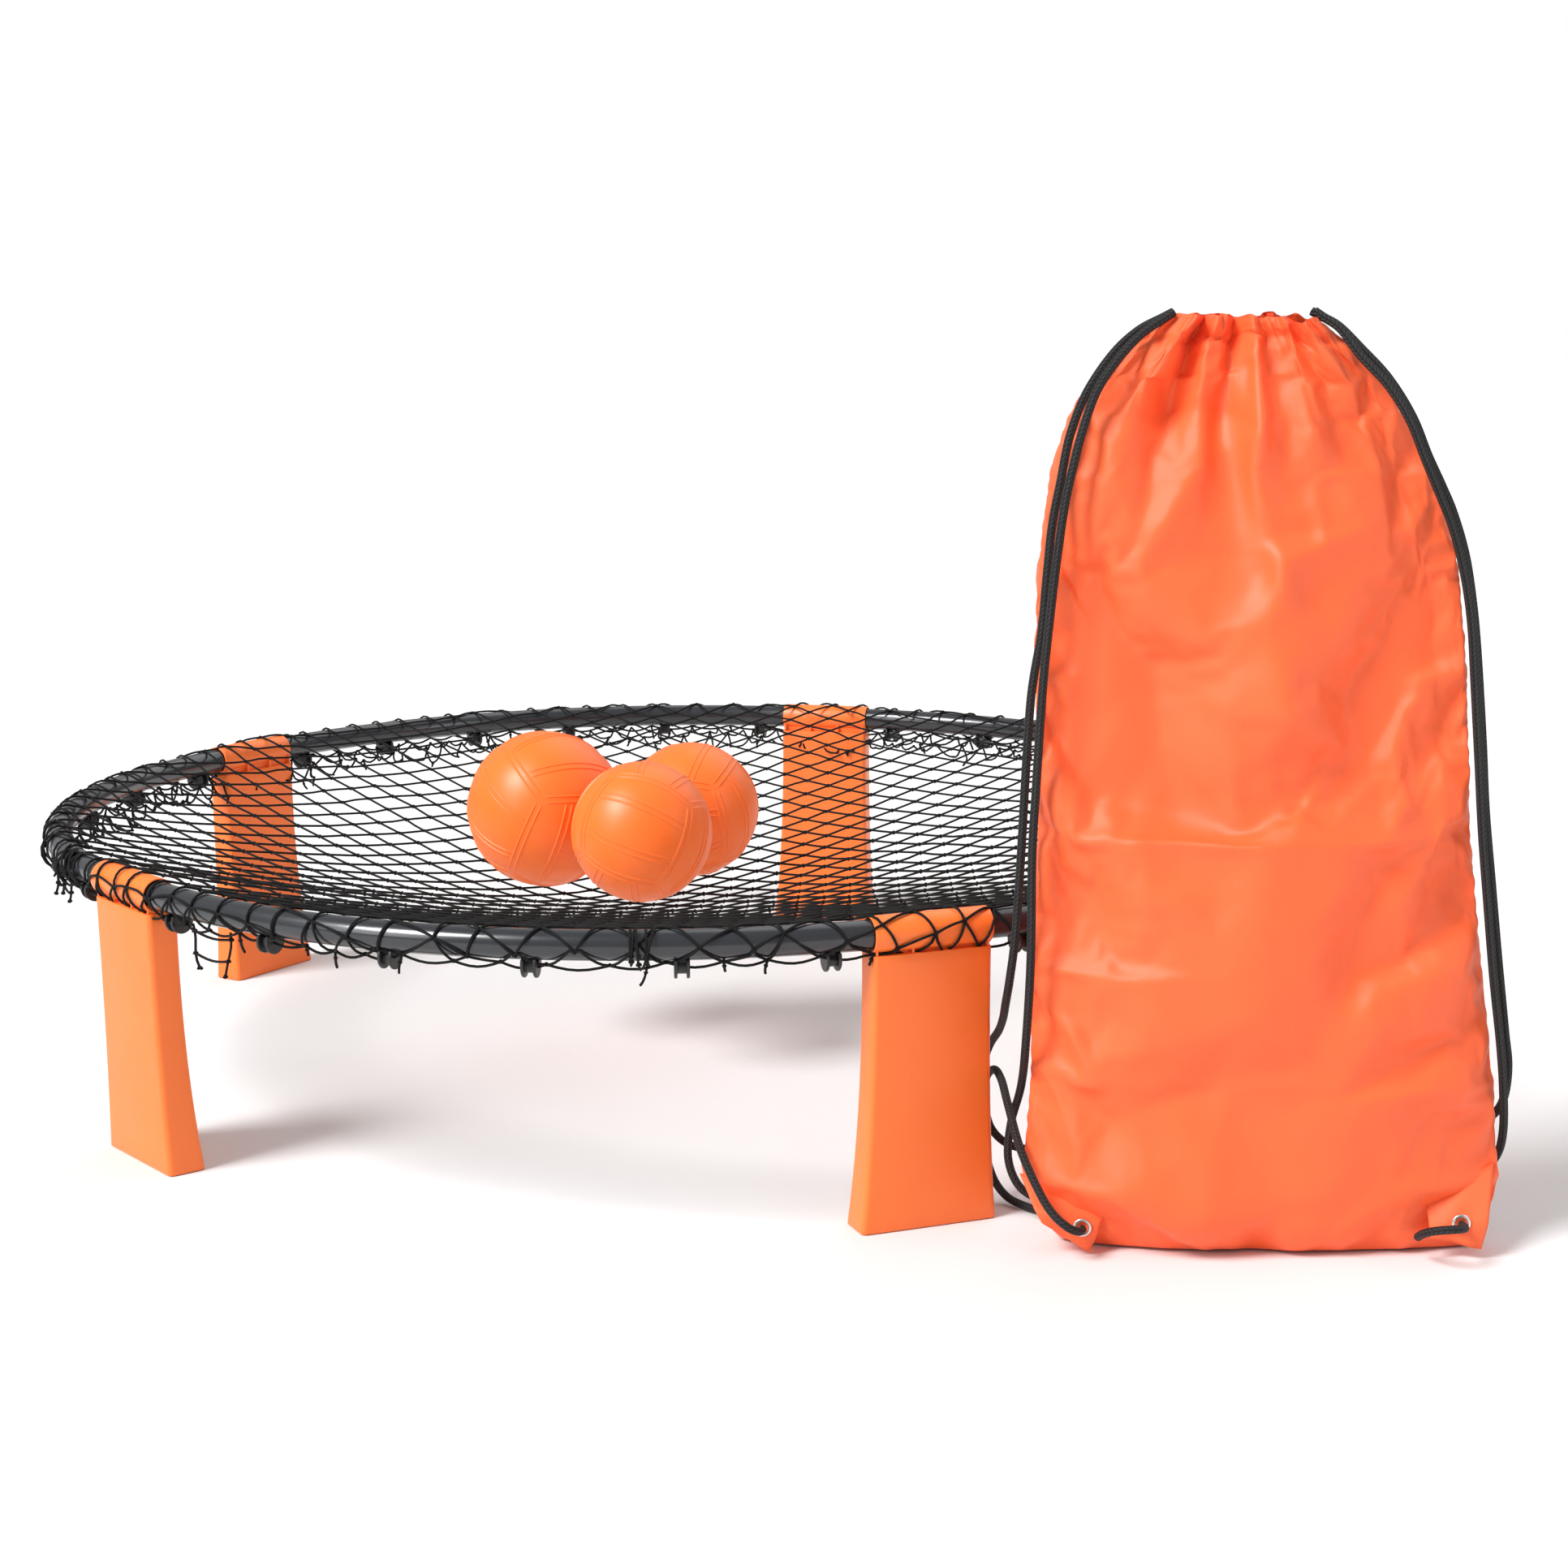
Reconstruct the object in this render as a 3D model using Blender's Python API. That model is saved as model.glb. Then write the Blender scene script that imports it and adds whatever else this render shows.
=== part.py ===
"""Roundnet set: a net on a five-legged tube ring, three balls and a drawstring carry bag.

Units are metres and +Z is up. The ring, the bag and the balls stand as they are set out for play,
with the feet on the plane z = 0. Angles round the ring are measured from +X, anticlockwise.
"""
import math

import bmesh
import bpy
from mathutils import Matrix, Vector

# Ring: five legs at equal angles, and five tubes that run from sleeve to sleeve
RING_CENTRE = Vector((-0.0256, 0.0014, 0.0))
LEG_COUNT = 5
FIRST_LEG_ANGLE = math.radians(-65.9)
LEG_PITCH = 2 * math.pi / LEG_COUNT
RIM_HEIGHT = 0.1833
RIM_RADIUS_AT_LEG = 0.445
RIM_FLAT_HALF = 0.024
RIM_BEND_RADIUS = RIM_RADIUS_AT_LEG - RIM_FLAT_HALF / math.tan(LEG_PITCH / 2)
TUBE_RADIUS = 0.0092
TUBE_WALL = 0.0013
TUBE_SIDES = 10
TUBE_BEND_STEPS = 8
NET_BEND_STEPS = 6
BEND_LEAD = math.radians(2.5)

# Legs: a sleeve on the tubes, two rows of ribs under it and a hollow flared box down to the floor
SLEEVE_RADIUS = 0.0112
SLEEVE_HALF_LENGTH = 0.0382
SLEEVE_SIDES = 18
BORE_RADIUS = 0.0100
BORE_WEB_HALF = 0.0010
LEDGE_DROP = 0.0115
LEG_TOP_HALF_WIDTH = 0.0385
LEG_FOOT_HALF_WIDTH = 0.0445
LEG_TOP_OUT, LEG_TOP_IN = 0.0085, 0.0128
LEG_FOOT_OUT, LEG_FOOT_IN = 0.0045, 0.0216
LEG_CORNER_RADIUS = 0.0035
LEG_WALL = 0.0026
LEG_CAVITY_DROP = 0.0185
FLARE_POWER = 2.4
RIB_THICKNESS = 0.0016

# Net hooks: spools with two flanges, six under each tube
HOOKS_PER_TUBE = 6
HOOK_PITCH = math.radians(12.3)
SADDLE_RADIUS = 0.0103
FLANGE_RADIUS, FLANGE_DROP, FLANGE_SADDLE_ANGLE = 0.0078, 0.0122, math.radians(39.2)
HUB_RADIUS, HUB_DROP, HUB_SADDLE_ANGLE = 0.0042, 0.0130, math.radians(24.8)
HOOK_HALF_WIDTH = 0.0046
FLANGE_THICKNESS = 0.0019

# Net: a sheet that dips under the balls and wraps over the ring to its outside
DIP_CENTRE = Vector((-0.070, -0.015))
DIP_HEIGHT = 0.1182
DIP_POWER = 1.35
NET_THICKNESS = 0.0024
NET_OVER_RADIUS = 0.0150
NET_WRAP_ANGLES = [math.radians(a) for a in (-28, 16, 60, 103)]
NET_RINGS = (0.72, 0.42, 0.20, 0.07)

# Balls: centre from the ring's centre, radius and the direction that the valve faces
BALL_WALL = 0.0025
BALLS = {
    "ball_large": (Vector((-0.1035, -0.0060, 0.1806)), 0.0580, Vector((-0.35, 0.80, 0.49))),
    "ball_front": (Vector((-0.0225, -0.0860, 0.1790)), 0.0505, Vector((0.25, 0.60, 0.76))),
    "ball_back": (Vector((0.0042, 0.0140, 0.1768)), 0.0505, Vector((0.50, 0.80, 0.33))),
}
VALVE_HOLE_RADIUS = 0.0032
VALVE_RADIUS = 0.0028

# Bag: level sections, each (height, left edge, right edge, half depth) from the ring's centre
BAG_DEPTH_MIDDLE = -0.428
BAG_SECTIONS = [
    (0.0000, 0.2620, 0.5050, 0.0250), (0.0130, 0.2515, 0.5115, 0.0270), (0.0420, 0.2385, 0.5165, 0.0300),
    (0.1000, 0.2425, 0.5110, 0.0330), (0.1700, 0.2420, 0.5020, 0.0350), (0.2500, 0.2450, 0.4920, 0.0360),
    (0.3400, 0.2425, 0.4870, 0.0345), (0.4000, 0.2435, 0.4800, 0.0320), (0.4550, 0.2495, 0.4640, 0.0270),
    (0.4850, 0.2590, 0.4470, 0.0220), (0.5050, 0.2710, 0.4330, 0.0180), (0.5250, 0.2960, 0.4150, 0.0150),
    (0.5380, 0.3170, 0.3950, 0.0135), (0.5430, 0.3240, 0.3880, 0.0110),
]
BAG_SECTION_POINTS = 20
BAG_SQUARENESS = 2.5
# Bottom corner tabs that hold the eyelets: (x, z) outlines, front face and eyelet centres
TAB_FRONT = -0.4545
LEFT_TAB = [(0.2480, 0.0380), (0.2640, 0.0420), (0.2900, 0.0330), (0.2800, 0.0), (0.2700, 0.0)]
RIGHT_TAB = [(0.4740, 0.0300), (0.4860, 0.0380), (0.5060, 0.0360), (0.5000, 0.0), (0.4800, 0.0)]
EYELET_RING_RADIUS, EYELET_WIRE_RADIUS = 0.0046, 0.0011
EYELET_SIDES = 12
FACE_GAP = 0.0003
EYELETS = {"eyelet_left": (0.2719, 0.0167), "eyelet_right": (0.4907, 0.0220)}

# Draw cords: braided, each from an end of the bag's mouth to a bottom corner
CORD_DIAMETER = 0.005
CORD_POINT_SPACING = 3 * CORD_DIAMETER
CORD_ROUTES = {
    "cord_left_outer": [
        (0.3120, -0.4240, 0.5405), (0.2975, -0.4265, 0.5330), (0.2830, -0.4340, 0.5200), (0.2685, -0.4410, 0.4990),
        (0.2594, -0.4450, 0.4757), (0.2545, -0.4465, 0.4506), (0.2500, -0.4460, 0.4252), (0.2473, -0.4445, 0.3952),
        (0.2450, -0.4430, 0.3654), (0.2410, -0.4420, 0.3400), (0.2390, -0.4425, 0.3224), (0.2371, -0.4430, 0.2897),
        (0.2344, -0.4450, 0.2331), (0.2318, -0.4460, 0.1900), (0.2290, -0.4400, 0.1620), (0.2272, -0.4250, 0.1430),
        (0.2265, -0.4050, 0.1290), (0.2245, -0.3860, 0.1160), (0.2200, -0.3690, 0.1030), (0.2165, -0.3580, 0.0880),
        (0.2150, -0.3525, 0.0700), (0.2152, -0.3500, 0.0500), (0.2177, -0.3510, 0.0300), (0.2230, -0.3565, 0.0130),
        (0.2310, -0.3660, 0.0045), (0.2410, -0.3775, 0.0027), (0.2520, -0.3880, 0.0027), (0.2630, -0.3970, 0.0029),
        (0.2740, -0.4050, 0.0045),
    ],
    "cord_left_inner": [
        (0.3120, -0.4335, 0.5400), (0.2985, -0.4370, 0.5310), (0.2850, -0.4440, 0.5170), (0.2735, -0.4500, 0.5000),
        (0.2662, -0.4540, 0.4800), (0.2610, -0.4565, 0.4600), (0.2565, -0.4570, 0.4383), (0.2525, -0.4565, 0.4084),
        (0.2492, -0.4550, 0.3765), (0.2462, -0.4540, 0.3444), (0.2444, -0.4535, 0.3166), (0.2425, -0.4535, 0.2793),
        (0.2406, -0.4540, 0.2384), (0.2404, -0.4545, 0.1784), (0.2385, -0.4450, 0.1250), (0.2372, -0.4150, 0.0900),
        (0.2320, -0.3990, 0.0620), (0.2305, -0.3985, 0.0400), (0.2365, -0.4010, 0.0240), (0.2475, -0.3995, 0.0155),
        (0.2585, -0.3940, 0.0150), (0.2670, -0.3870, 0.0195), (0.2685, -0.3810, 0.0280), (0.2620, -0.3780, 0.0355),
        (0.2510, -0.3785, 0.0390), (0.2400, -0.3800, 0.0400), (0.2295, -0.3780, 0.0430), (0.2215, -0.3710, 0.0490),
        (0.2178, -0.3660, 0.0585), (0.2168, -0.3638, 0.0700), (0.2182, -0.3670, 0.0820), (0.2225, -0.3785, 0.0895),
        (0.2262, -0.3940, 0.0875), (0.2295, -0.4150, 0.0785), (0.2358, -0.4420, 0.0605), (0.2445, -0.4570, 0.0430),
        (0.2530, -0.4680, 0.0305), (0.2625, -0.4720, 0.0225), (0.2695, -0.4670, 0.0182), (0.2719, -0.4582, 0.0167),
    ],
    "cord_right_outer": [
        (0.3995, -0.4240, 0.5405), (0.4090, -0.4280, 0.5350), (0.4210, -0.4340, 0.5225), (0.4353, -0.4400, 0.5065),
        (0.4486, -0.4430, 0.4855), (0.4580, -0.4430, 0.4640), (0.4665, -0.4405, 0.4475), (0.4745, -0.4370, 0.4310),
        (0.4825, -0.4335, 0.4080), (0.4880, -0.4310, 0.3820), (0.4920, -0.4300, 0.3530), (0.4970, -0.4295, 0.3030),
        (0.5005, -0.4295, 0.2611), (0.5055, -0.4295, 0.2200), (0.5110, -0.4295, 0.1754), (0.5170, -0.4290, 0.1304),
        (0.5205, -0.4260, 0.1076), (0.5205, -0.4170, 0.0850), (0.5160, -0.4040, 0.0700), (0.5070, -0.3920, 0.0620),
        (0.4975, -0.3860, 0.0500), (0.4920, -0.3865, 0.0340), (0.4900, -0.3920, 0.0190), (0.4890, -0.3990, 0.0090),
    ],
    "cord_right_inner": [
        (0.3995, -0.4335, 0.5400), (0.4085, -0.4375, 0.5335), (0.4195, -0.4430, 0.5185), (0.4335, -0.4490, 0.5030),
        (0.4455, -0.4520, 0.4840), (0.4548, -0.4520, 0.4625), (0.4635, -0.4490, 0.4440), (0.4725, -0.4460, 0.4240),
        (0.4805, -0.4430, 0.3980), (0.4860, -0.4405, 0.3700), (0.4895, -0.4395, 0.3350), (0.4935, -0.4395, 0.2900),
        (0.4970, -0.4395, 0.2500), (0.5015, -0.4395, 0.2100), (0.5068, -0.4395, 0.1650), (0.5125, -0.4390, 0.1250),
        (0.5160, -0.4355, 0.0980), (0.5190, -0.4270, 0.0700), (0.5185, -0.4150, 0.0500), (0.5110, -0.4030, 0.0360),
        (0.5020, -0.3960, 0.0250), (0.4985, -0.3965, 0.0130),
    ],
    "cord_right_tail": [
        (0.4907, -0.4582, 0.0220), (0.4907, -0.4665, 0.0232), (0.4880, -0.4738, 0.0250), (0.4825, -0.4785, 0.0262),
        (0.4757, -0.4788, 0.0258), (0.4698, -0.4750, 0.0235), (0.4664, -0.4680, 0.0195), (0.4655, -0.4600, 0.0150),
    ],
}

# Finishes: colour, roughness, metallic
FINISHES = {
    "ring_tube": ((0.022, 0.024, 0.030), 0.32, 0.0),
    "orange_plastic": ((0.95, 0.21, 0.035), 0.42, 0.0),
    "hook_plastic": ((0.015, 0.015, 0.017), 0.45, 0.0),
    "net_twine": ((0.010, 0.010, 0.012), 0.80, 0.0),
    "ball_vinyl": ((0.95, 0.15, 0.028), 0.45, 0.0),
    "valve_rubber": ((0.70, 0.12, 0.03), 0.60, 0.0),
    "bag_cloth": ((0.95, 0.13, 0.035), 0.55, 0.0),
    "cord_braid": ((0.012, 0.012, 0.012), 0.75, 0.0),
    "eyelet_metal": ((0.80, 0.80, 0.78), 0.25, 1.0),
}


def clear_scene():
    for old in list(bpy.data.objects):
        bpy.data.objects.remove(old, do_unlink=True)


def make_finishes():
    for name, (colour, roughness, metallic) in FINISHES.items():
        material = bpy.data.materials.new(name)
        material.use_nodes = True
        shader = material.node_tree.nodes["Principled BSDF"]
        shader.inputs["Base Color"].default_value = (*colour, 1.0)
        shader.inputs["Roughness"].default_value = roughness
        shader.inputs["Metallic"].default_value = metallic


def add_object(name, data, finish, location=Vector((0, 0, 0)), rotation=None):
    if not data.materials:
        data.materials.append(bpy.data.materials[finish])
    piece = bpy.data.objects.new(name, data)
    piece.location = location
    if rotation is not None:
        piece.rotation_mode = "QUATERNION"
        piece.rotation_quaternion = rotation
    bpy.context.scene.collection.objects.link(piece)
    return piece


def loft_mesh(name, rings, closed_loop=False, first_cap=True, last_cap=True):
    """Mesh through rings of equal point count. A ring of one point is a pole."""
    bm = bmesh.new()
    loops = [[bm.verts.new(p) for p in ring] for ring in rings]
    pairs = list(zip(loops, loops[1:]))
    if closed_loop:
        pairs.append((loops[-1], loops[0]))
    for low, high in pairs:
        count = max(len(low), len(high))
        for i in range(count):
            j = (i + 1) % count
            corners = [low[i % len(low)], low[j % len(low)], high[j % len(high)], high[i % len(high)]]
            bm.faces.new(dict.fromkeys(corners))
    if not closed_loop:
        if first_cap and len(loops[0]) > 1:
            bm.faces.new(reversed(loops[0]))
        if last_cap and len(loops[-1]) > 1:
            bm.faces.new(loops[-1])
    bmesh.ops.recalc_face_normals(bm, faces=bm.faces)
    mesh = bpy.data.meshes.new(name)
    bm.to_mesh(mesh)
    bm.free()
    mesh.shade_smooth()
    mesh.set_sharp_from_angle(angle=math.radians(35))
    return mesh


def circle(radius, sides, centre, across, up, start=0.0):
    turn = [start + 2 * math.pi * i / sides for i in range(sides)]
    return [centre + across * (radius * math.cos(a)) + up * (radius * math.sin(a)) for a in turn]


def leg_directions(k):
    """Outward direction and direction of travel round the ring at leg k."""
    angle = FIRST_LEG_ANGLE + k * LEG_PITCH
    outward = Vector((math.cos(angle), math.sin(angle), 0))
    travel = Vector((-math.sin(angle), math.cos(angle), 0))
    return outward, travel


def leg_axis_point(k):
    outward, _ = leg_directions(k)
    return RING_CENTRE + outward * RIM_RADIUS_AT_LEG + Vector((0, 0, RIM_HEIGHT))


def bend_point(k, turn):
    """Point on the axis of tube k, its outward direction and its direction of travel, at a turn from leg k."""
    outward, travel = leg_directions(k)
    middle = leg_axis_point(k) + travel * RIM_FLAT_HALF - outward * RIM_BEND_RADIUS
    out = outward * math.cos(turn) + travel * math.sin(turn)
    onward = travel * math.cos(turn) - outward * math.sin(turn)
    return middle + out * RIM_BEND_RADIUS, out, onward


def bend_turns(steps):
    """Turns from one leg to the next: a short lead at each end and equal steps between."""
    span = LEG_PITCH - 2 * BEND_LEAD
    return [0.0, *(BEND_LEAD + span * i / steps for i in range(steps + 1)), LEG_PITCH]


def tube_stations(k):
    """Stations of tube k: straight inside both sleeves, bent between them."""
    bends = [bend_point(k, turn) for turn in bend_turns(TUBE_BEND_STEPS)]
    end_clearance = 2 * BORE_WEB_HALF
    outward, travel = leg_directions(k)
    first = (leg_axis_point(k) + travel * end_clearance, outward, travel)
    outward, travel = leg_directions(k + 1)
    last = (leg_axis_point(k + 1) - travel * end_clearance, outward, travel)
    return [first, *bends, last]


def build_tubes():
    up = Vector((0, 0, 1))
    for k in range(LEG_COUNT):
        stations = tube_stations(k)
        outer = [circle(TUBE_RADIUS, TUBE_SIDES, p, out, up) for p, out, _ in stations]
        inner = [circle(TUBE_RADIUS - TUBE_WALL, TUBE_SIDES, p, out, up) for p, out, _ in stations]
        mesh = loft_mesh("ring_tube", outer + inner[::-1], closed_loop=True)
        add_object(f"ring_tube_{k + 1}", mesh, "ring_tube")


def leg_ring(down, inset):
    """Rounded rectangle of the leg's box at a drop below the tube axis, shrunk by inset."""
    share = (down - LEDGE_DROP) / (RIM_HEIGHT - LEDGE_DROP)
    flare = share ** FLARE_POWER
    half_width = LEG_TOP_HALF_WIDTH + (LEG_FOOT_HALF_WIDTH - LEG_TOP_HALF_WIDTH) * flare - inset
    out = LEG_TOP_OUT + (LEG_FOOT_OUT - LEG_TOP_OUT) * share - inset
    back = -(LEG_TOP_IN + (LEG_FOOT_IN - LEG_TOP_IN) * flare) + inset
    radius = max(LEG_CORNER_RADIUS - inset, 0.0008)
    corners = [(half_width, out, 0), (-half_width, out, 90), (-half_width, back, 180), (half_width, back, 270)]
    points = []
    for x, y, start in corners:
        centre = Vector((x - math.copysign(radius, x), y - math.copysign(radius, y), -down))
        for step in range(3):
            turn = math.radians(start + 45 * step)
            points.append(centre + Vector((radius * math.cos(turn), radius * math.sin(turn), 0)))
    return points


def box_mesh(name, low, high):
    rings = []
    for z in (low[2], high[2]):
        rings.append([Vector((low[0], low[1], z)), Vector((high[0], low[1], z)),
                      Vector((high[0], high[1], z)), Vector((low[0], high[1], z))])
    return loft_mesh(name, rings)


def bar_mesh(name, radius, sides, low_x, high_x):
    across, up = Vector((0, 1, 0)), Vector((0, 0, 1))
    return loft_mesh(name, [circle(radius, sides, Vector((x, 0, 0)), across, up) for x in (low_x, high_x)])


def guide_object(name, mesh):
    guide = bpy.data.objects.new(name, mesh)
    guide.hide_render = True
    guide.display_type = "WIRE"
    bpy.context.scene.collection.objects.link(guide)
    return guide


def baked_leg_mesh():
    """One leg about its tube axis: X along the sleeve, Y outwards, Z up."""
    drops = [LEDGE_DROP, 0.075, 0.120, 0.155, RIM_HEIGHT]
    outer = [leg_ring(d, 0.0) for d in drops]
    inner = [leg_ring(d, LEG_WALL) for d in drops[:0:-1]]
    roof = [p + Vector((0, 0, LEDGE_DROP - LEG_CAVITY_DROP)) for p in leg_ring(LEDGE_DROP, LEG_WALL)]
    box = loft_mesh("leg_box", outer + inner + [roof])
    leg = bpy.data.objects.new("leg_pattern", box)
    bpy.context.scene.collection.objects.link(leg)
    neck_half = SLEEVE_HALF_LENGTH - 0.0022
    neck = guide_object("neck", box_mesh("neck", (-neck_half, -0.0080, -0.0140), (neck_half, 0.0040, -0.0062)))
    sleeve = bar_mesh("sleeve", SLEEVE_RADIUS, SLEEVE_SIDES, -SLEEVE_HALF_LENGTH, SLEEVE_HALF_LENGTH)
    additions = [neck, guide_object("sleeve", sleeve)]
    rib_places = [-neck_half, -SLEEVE_HALF_LENGTH / 3, SLEEVE_HALF_LENGTH / 3, neck_half]
    for i, x in enumerate(rib_places):
        low = (x - RIB_THICKNESS / 2, -LEG_TOP_IN + 0.0012, -0.0136)
        high = (x + RIB_THICKNESS / 2, LEG_TOP_OUT - 0.0012, -0.0048)
        additions.append(guide_object(f"rib_{i + 1}", box_mesh("rib", low, high)))
    bore_end = SLEEVE_HALF_LENGTH + 0.005
    cuts = [guide_object("bore_a", bar_mesh("bore", BORE_RADIUS, SLEEVE_SIDES, BORE_WEB_HALF, bore_end)),
            guide_object("bore_b", bar_mesh("bore", BORE_RADIUS, SLEEVE_SIDES, -bore_end, -BORE_WEB_HALF))]
    for operation, guides in (("UNION", additions), ("DIFFERENCE", cuts)):
        for guide in guides:
            change = leg.modifiers.new(guide.name, "BOOLEAN")
            change.operation = operation
            change.object = guide
            change.solver = "EXACT"
    bpy.context.view_layer.update()
    whole = leg.evaluated_get(bpy.context.evaluated_depsgraph_get())
    mesh = bpy.data.meshes.new_from_object(whole)
    for helper in [leg, *additions, *cuts]:
        bpy.data.objects.remove(helper, do_unlink=True)
    mesh.shade_smooth()
    mesh.set_sharp_from_angle(angle=math.radians(35))
    return mesh


def frame_rotation(outward, travel):
    """Rotation that takes X to the direction of travel reversed and Y outwards."""
    x_axis = -travel
    return Matrix((x_axis, outward, Vector((0, 0, 1)))).transposed().to_quaternion()


def build_legs():
    mesh = baked_leg_mesh()
    for k in range(LEG_COUNT):
        outward, travel = leg_directions(k)
        add_object(f"leg_{k + 1}", mesh, "orange_plastic", leg_axis_point(k), frame_rotation(outward, travel))


def hook_outline(x, saddle_angle, radius, drop):
    """Outline across the tube: a saddle under the tube and a round lobe below it."""
    corner = Vector((0, SADDLE_RADIUS * math.sin(saddle_angle), -SADDLE_RADIUS * math.cos(saddle_angle)))
    rise = math.atan2(corner.z + drop, corner.y)
    points = [Vector((x, corner.y, corner.z))]
    sweep = math.pi + 2 * rise
    lobe_points = 5
    for i in range(1, lobe_points + 1):
        turn = rise - sweep * i / (lobe_points + 1)
        points.append(Vector((x, radius * math.cos(turn), -drop + radius * math.sin(turn))))
    points.append(Vector((x, -corner.y, corner.z)))
    points.append(Vector((x, 0, -SADDLE_RADIUS)))
    return points


def build_hooks():
    flange = (FLANGE_SADDLE_ANGLE, FLANGE_RADIUS, FLANGE_DROP)
    hub = (HUB_SADDLE_ANGLE, HUB_RADIUS, HUB_DROP)
    inner_face = HOOK_HALF_WIDTH - FLANGE_THICKNESS
    stack = [(-HOOK_HALF_WIDTH, flange), (-inner_face, flange), (-inner_face, hub),
             (inner_face, hub), (inner_face, flange), (HOOK_HALF_WIDTH, flange)]
    mesh = loft_mesh("net_hook", [hook_outline(x, *shape) for x, shape in stack])
    for k in range(LEG_COUNT):
        for i in range(HOOKS_PER_TUBE):
            turn = LEG_PITCH / 2 + HOOK_PITCH * (i - (HOOKS_PER_TUBE - 1) / 2)
            point, out, onward = bend_point(k, turn)
            name = f"net_hook_{k * HOOKS_PER_TUBE + i + 1:02d}"
            add_object(name, mesh, "hook_plastic", point, frame_rotation(out, onward))


def net_height(share):
    """Height of the net's upper face at a share of the way from the dip to the ring."""
    edge = RIM_HEIGHT + NET_OVER_RADIUS * math.sin(NET_WRAP_ANGLES[-1])
    return DIP_HEIGHT + (edge - DIP_HEIGHT) * share ** DIP_POWER


def build_net():
    stations = []
    for k in range(LEG_COUNT):
        stations += [bend_point(k, turn) for turn in bend_turns(NET_BEND_STEPS)]
    dip = RING_CENTRE + Vector((DIP_CENTRE.x, DIP_CENTRE.y, 0))
    down = Vector((0, 0, -NET_THICKNESS))

    def wrap_ring(radius, angle):
        lift = Vector((0, 0, radius * math.sin(angle)))
        return [p + out * (radius * math.cos(angle)) + lift for p, out, _ in stations]

    def dish_ring(share):
        edge = wrap_ring(NET_OVER_RADIUS, NET_WRAP_ANGLES[-1])
        ring = [dip + (p - dip) * share for p in edge]
        return [Vector((p.x, p.y, net_height(share))) for p in ring]

    bottom = dip + Vector((0, 0, DIP_HEIGHT))
    upper = [wrap_ring(NET_OVER_RADIUS, a) for a in NET_WRAP_ANGLES] + [dish_ring(s) for s in NET_RINGS]
    under_radius = NET_OVER_RADIUS - NET_THICKNESS
    lower = [wrap_ring(under_radius, a) for a in NET_WRAP_ANGLES]
    lower += [[p + down for p in dish_ring(s)] for s in NET_RINGS]
    rings = [[bottom]] + upper[::-1] + lower + [[bottom + down]]
    add_object("net", loft_mesh("net", rings), "net_twine")


def ball_mesh(radius):
    """Hollow ball about its centre, with its valve hole at +Z."""
    sides, bands = 14, 8
    across, up = Vector((1, 0, 0)), Vector((0, 1, 0))

    def shell(r):
        hole = math.asin(VALVE_HOLE_RADIUS / r)
        turns = [hole + (math.pi - hole) * i / bands for i in range(bands)]
        return [circle(r * math.sin(t), sides, Vector((0, 0, r * math.cos(t))), across, up) for t in turns]

    inner_radius = radius - BALL_WALL
    rings = [[Vector((0, 0, -radius))]] + shell(radius)[::-1] + shell(inner_radius)
    return loft_mesh("ball", rings + [[Vector((0, 0, -inner_radius))]])


def valve_mesh(radius):
    across, up = Vector((1, 0, 0)), Vector((0, 1, 0))
    levels = [(radius - BALL_WALL - 0.0012, 0.0018), (radius - BALL_WALL, VALVE_RADIUS), (radius, VALVE_RADIUS)]
    return loft_mesh("valve", [circle(r, 10, Vector((0, 0, z)), across, up) for z, r in levels])


def build_balls():
    for name, (centre, radius, valve_direction) in BALLS.items():
        rotation = valve_direction.normalized().to_track_quat("Z", "X")
        place = RING_CENTRE + centre
        add_object(name, ball_mesh(radius), "ball_vinyl", place, rotation)
        valve_name = name.replace("ball", "valve")
        add_object(valve_name, valve_mesh(radius), "valve_rubber", place, rotation)


def bag_section(height, left, right, half_depth):
    middle = (left + right) / 2
    half_width = (right - left) / 2
    points = []
    for i in range(BAG_SECTION_POINTS):
        turn = 2 * math.pi * i / BAG_SECTION_POINTS
        across = math.copysign(abs(math.cos(turn)) ** (2 / BAG_SQUARENESS), math.cos(turn))
        deep = math.copysign(abs(math.sin(turn)) ** (2 / BAG_SQUARENESS), math.sin(turn))
        local = Vector((middle + half_width * across, BAG_DEPTH_MIDDLE + half_depth * deep, height))
        points.append(RING_CENTRE + local)
    return points


def tab_guide(name, outline):
    rings = []
    for y in (TAB_FRONT, BAG_DEPTH_MIDDLE):
        rings.append([RING_CENTRE + Vector((x, y, z)) for x, z in outline])
    return guide_object(name, loft_mesh(name, rings))


def build_bag():
    bag = add_object("drawstring_bag", loft_mesh("bag", [bag_section(*s) for s in BAG_SECTIONS]), "bag_cloth")
    for name, outline in (("left_tab", LEFT_TAB), ("right_tab", RIGHT_TAB)):
        join = bag.modifiers.new(name, "BOOLEAN")
        join.operation = "UNION"
        join.object = tab_guide(name, outline)
        join.solver = "EXACT"


def build_eyelets():
    across, up, forward = Vector((1, 0, 0)), Vector((0, 0, 1)), Vector((0, 1, 0))
    for name, (x, z) in EYELETS.items():
        rings = []
        for i in range(EYELET_SIDES):
            turn = 2 * math.pi * i / EYELET_SIDES
            spoke = across * math.cos(turn) + up * math.sin(turn)
            rings.append(circle(EYELET_WIRE_RADIUS, 5, spoke * EYELET_RING_RADIUS, spoke, forward))
        centre = RING_CENTRE + Vector((x, TAB_FRONT - FACE_GAP - EYELET_WIRE_RADIUS, z))
        add_object(name, loft_mesh(name, rings, closed_loop=True), "eyelet_metal", centre)


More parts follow.
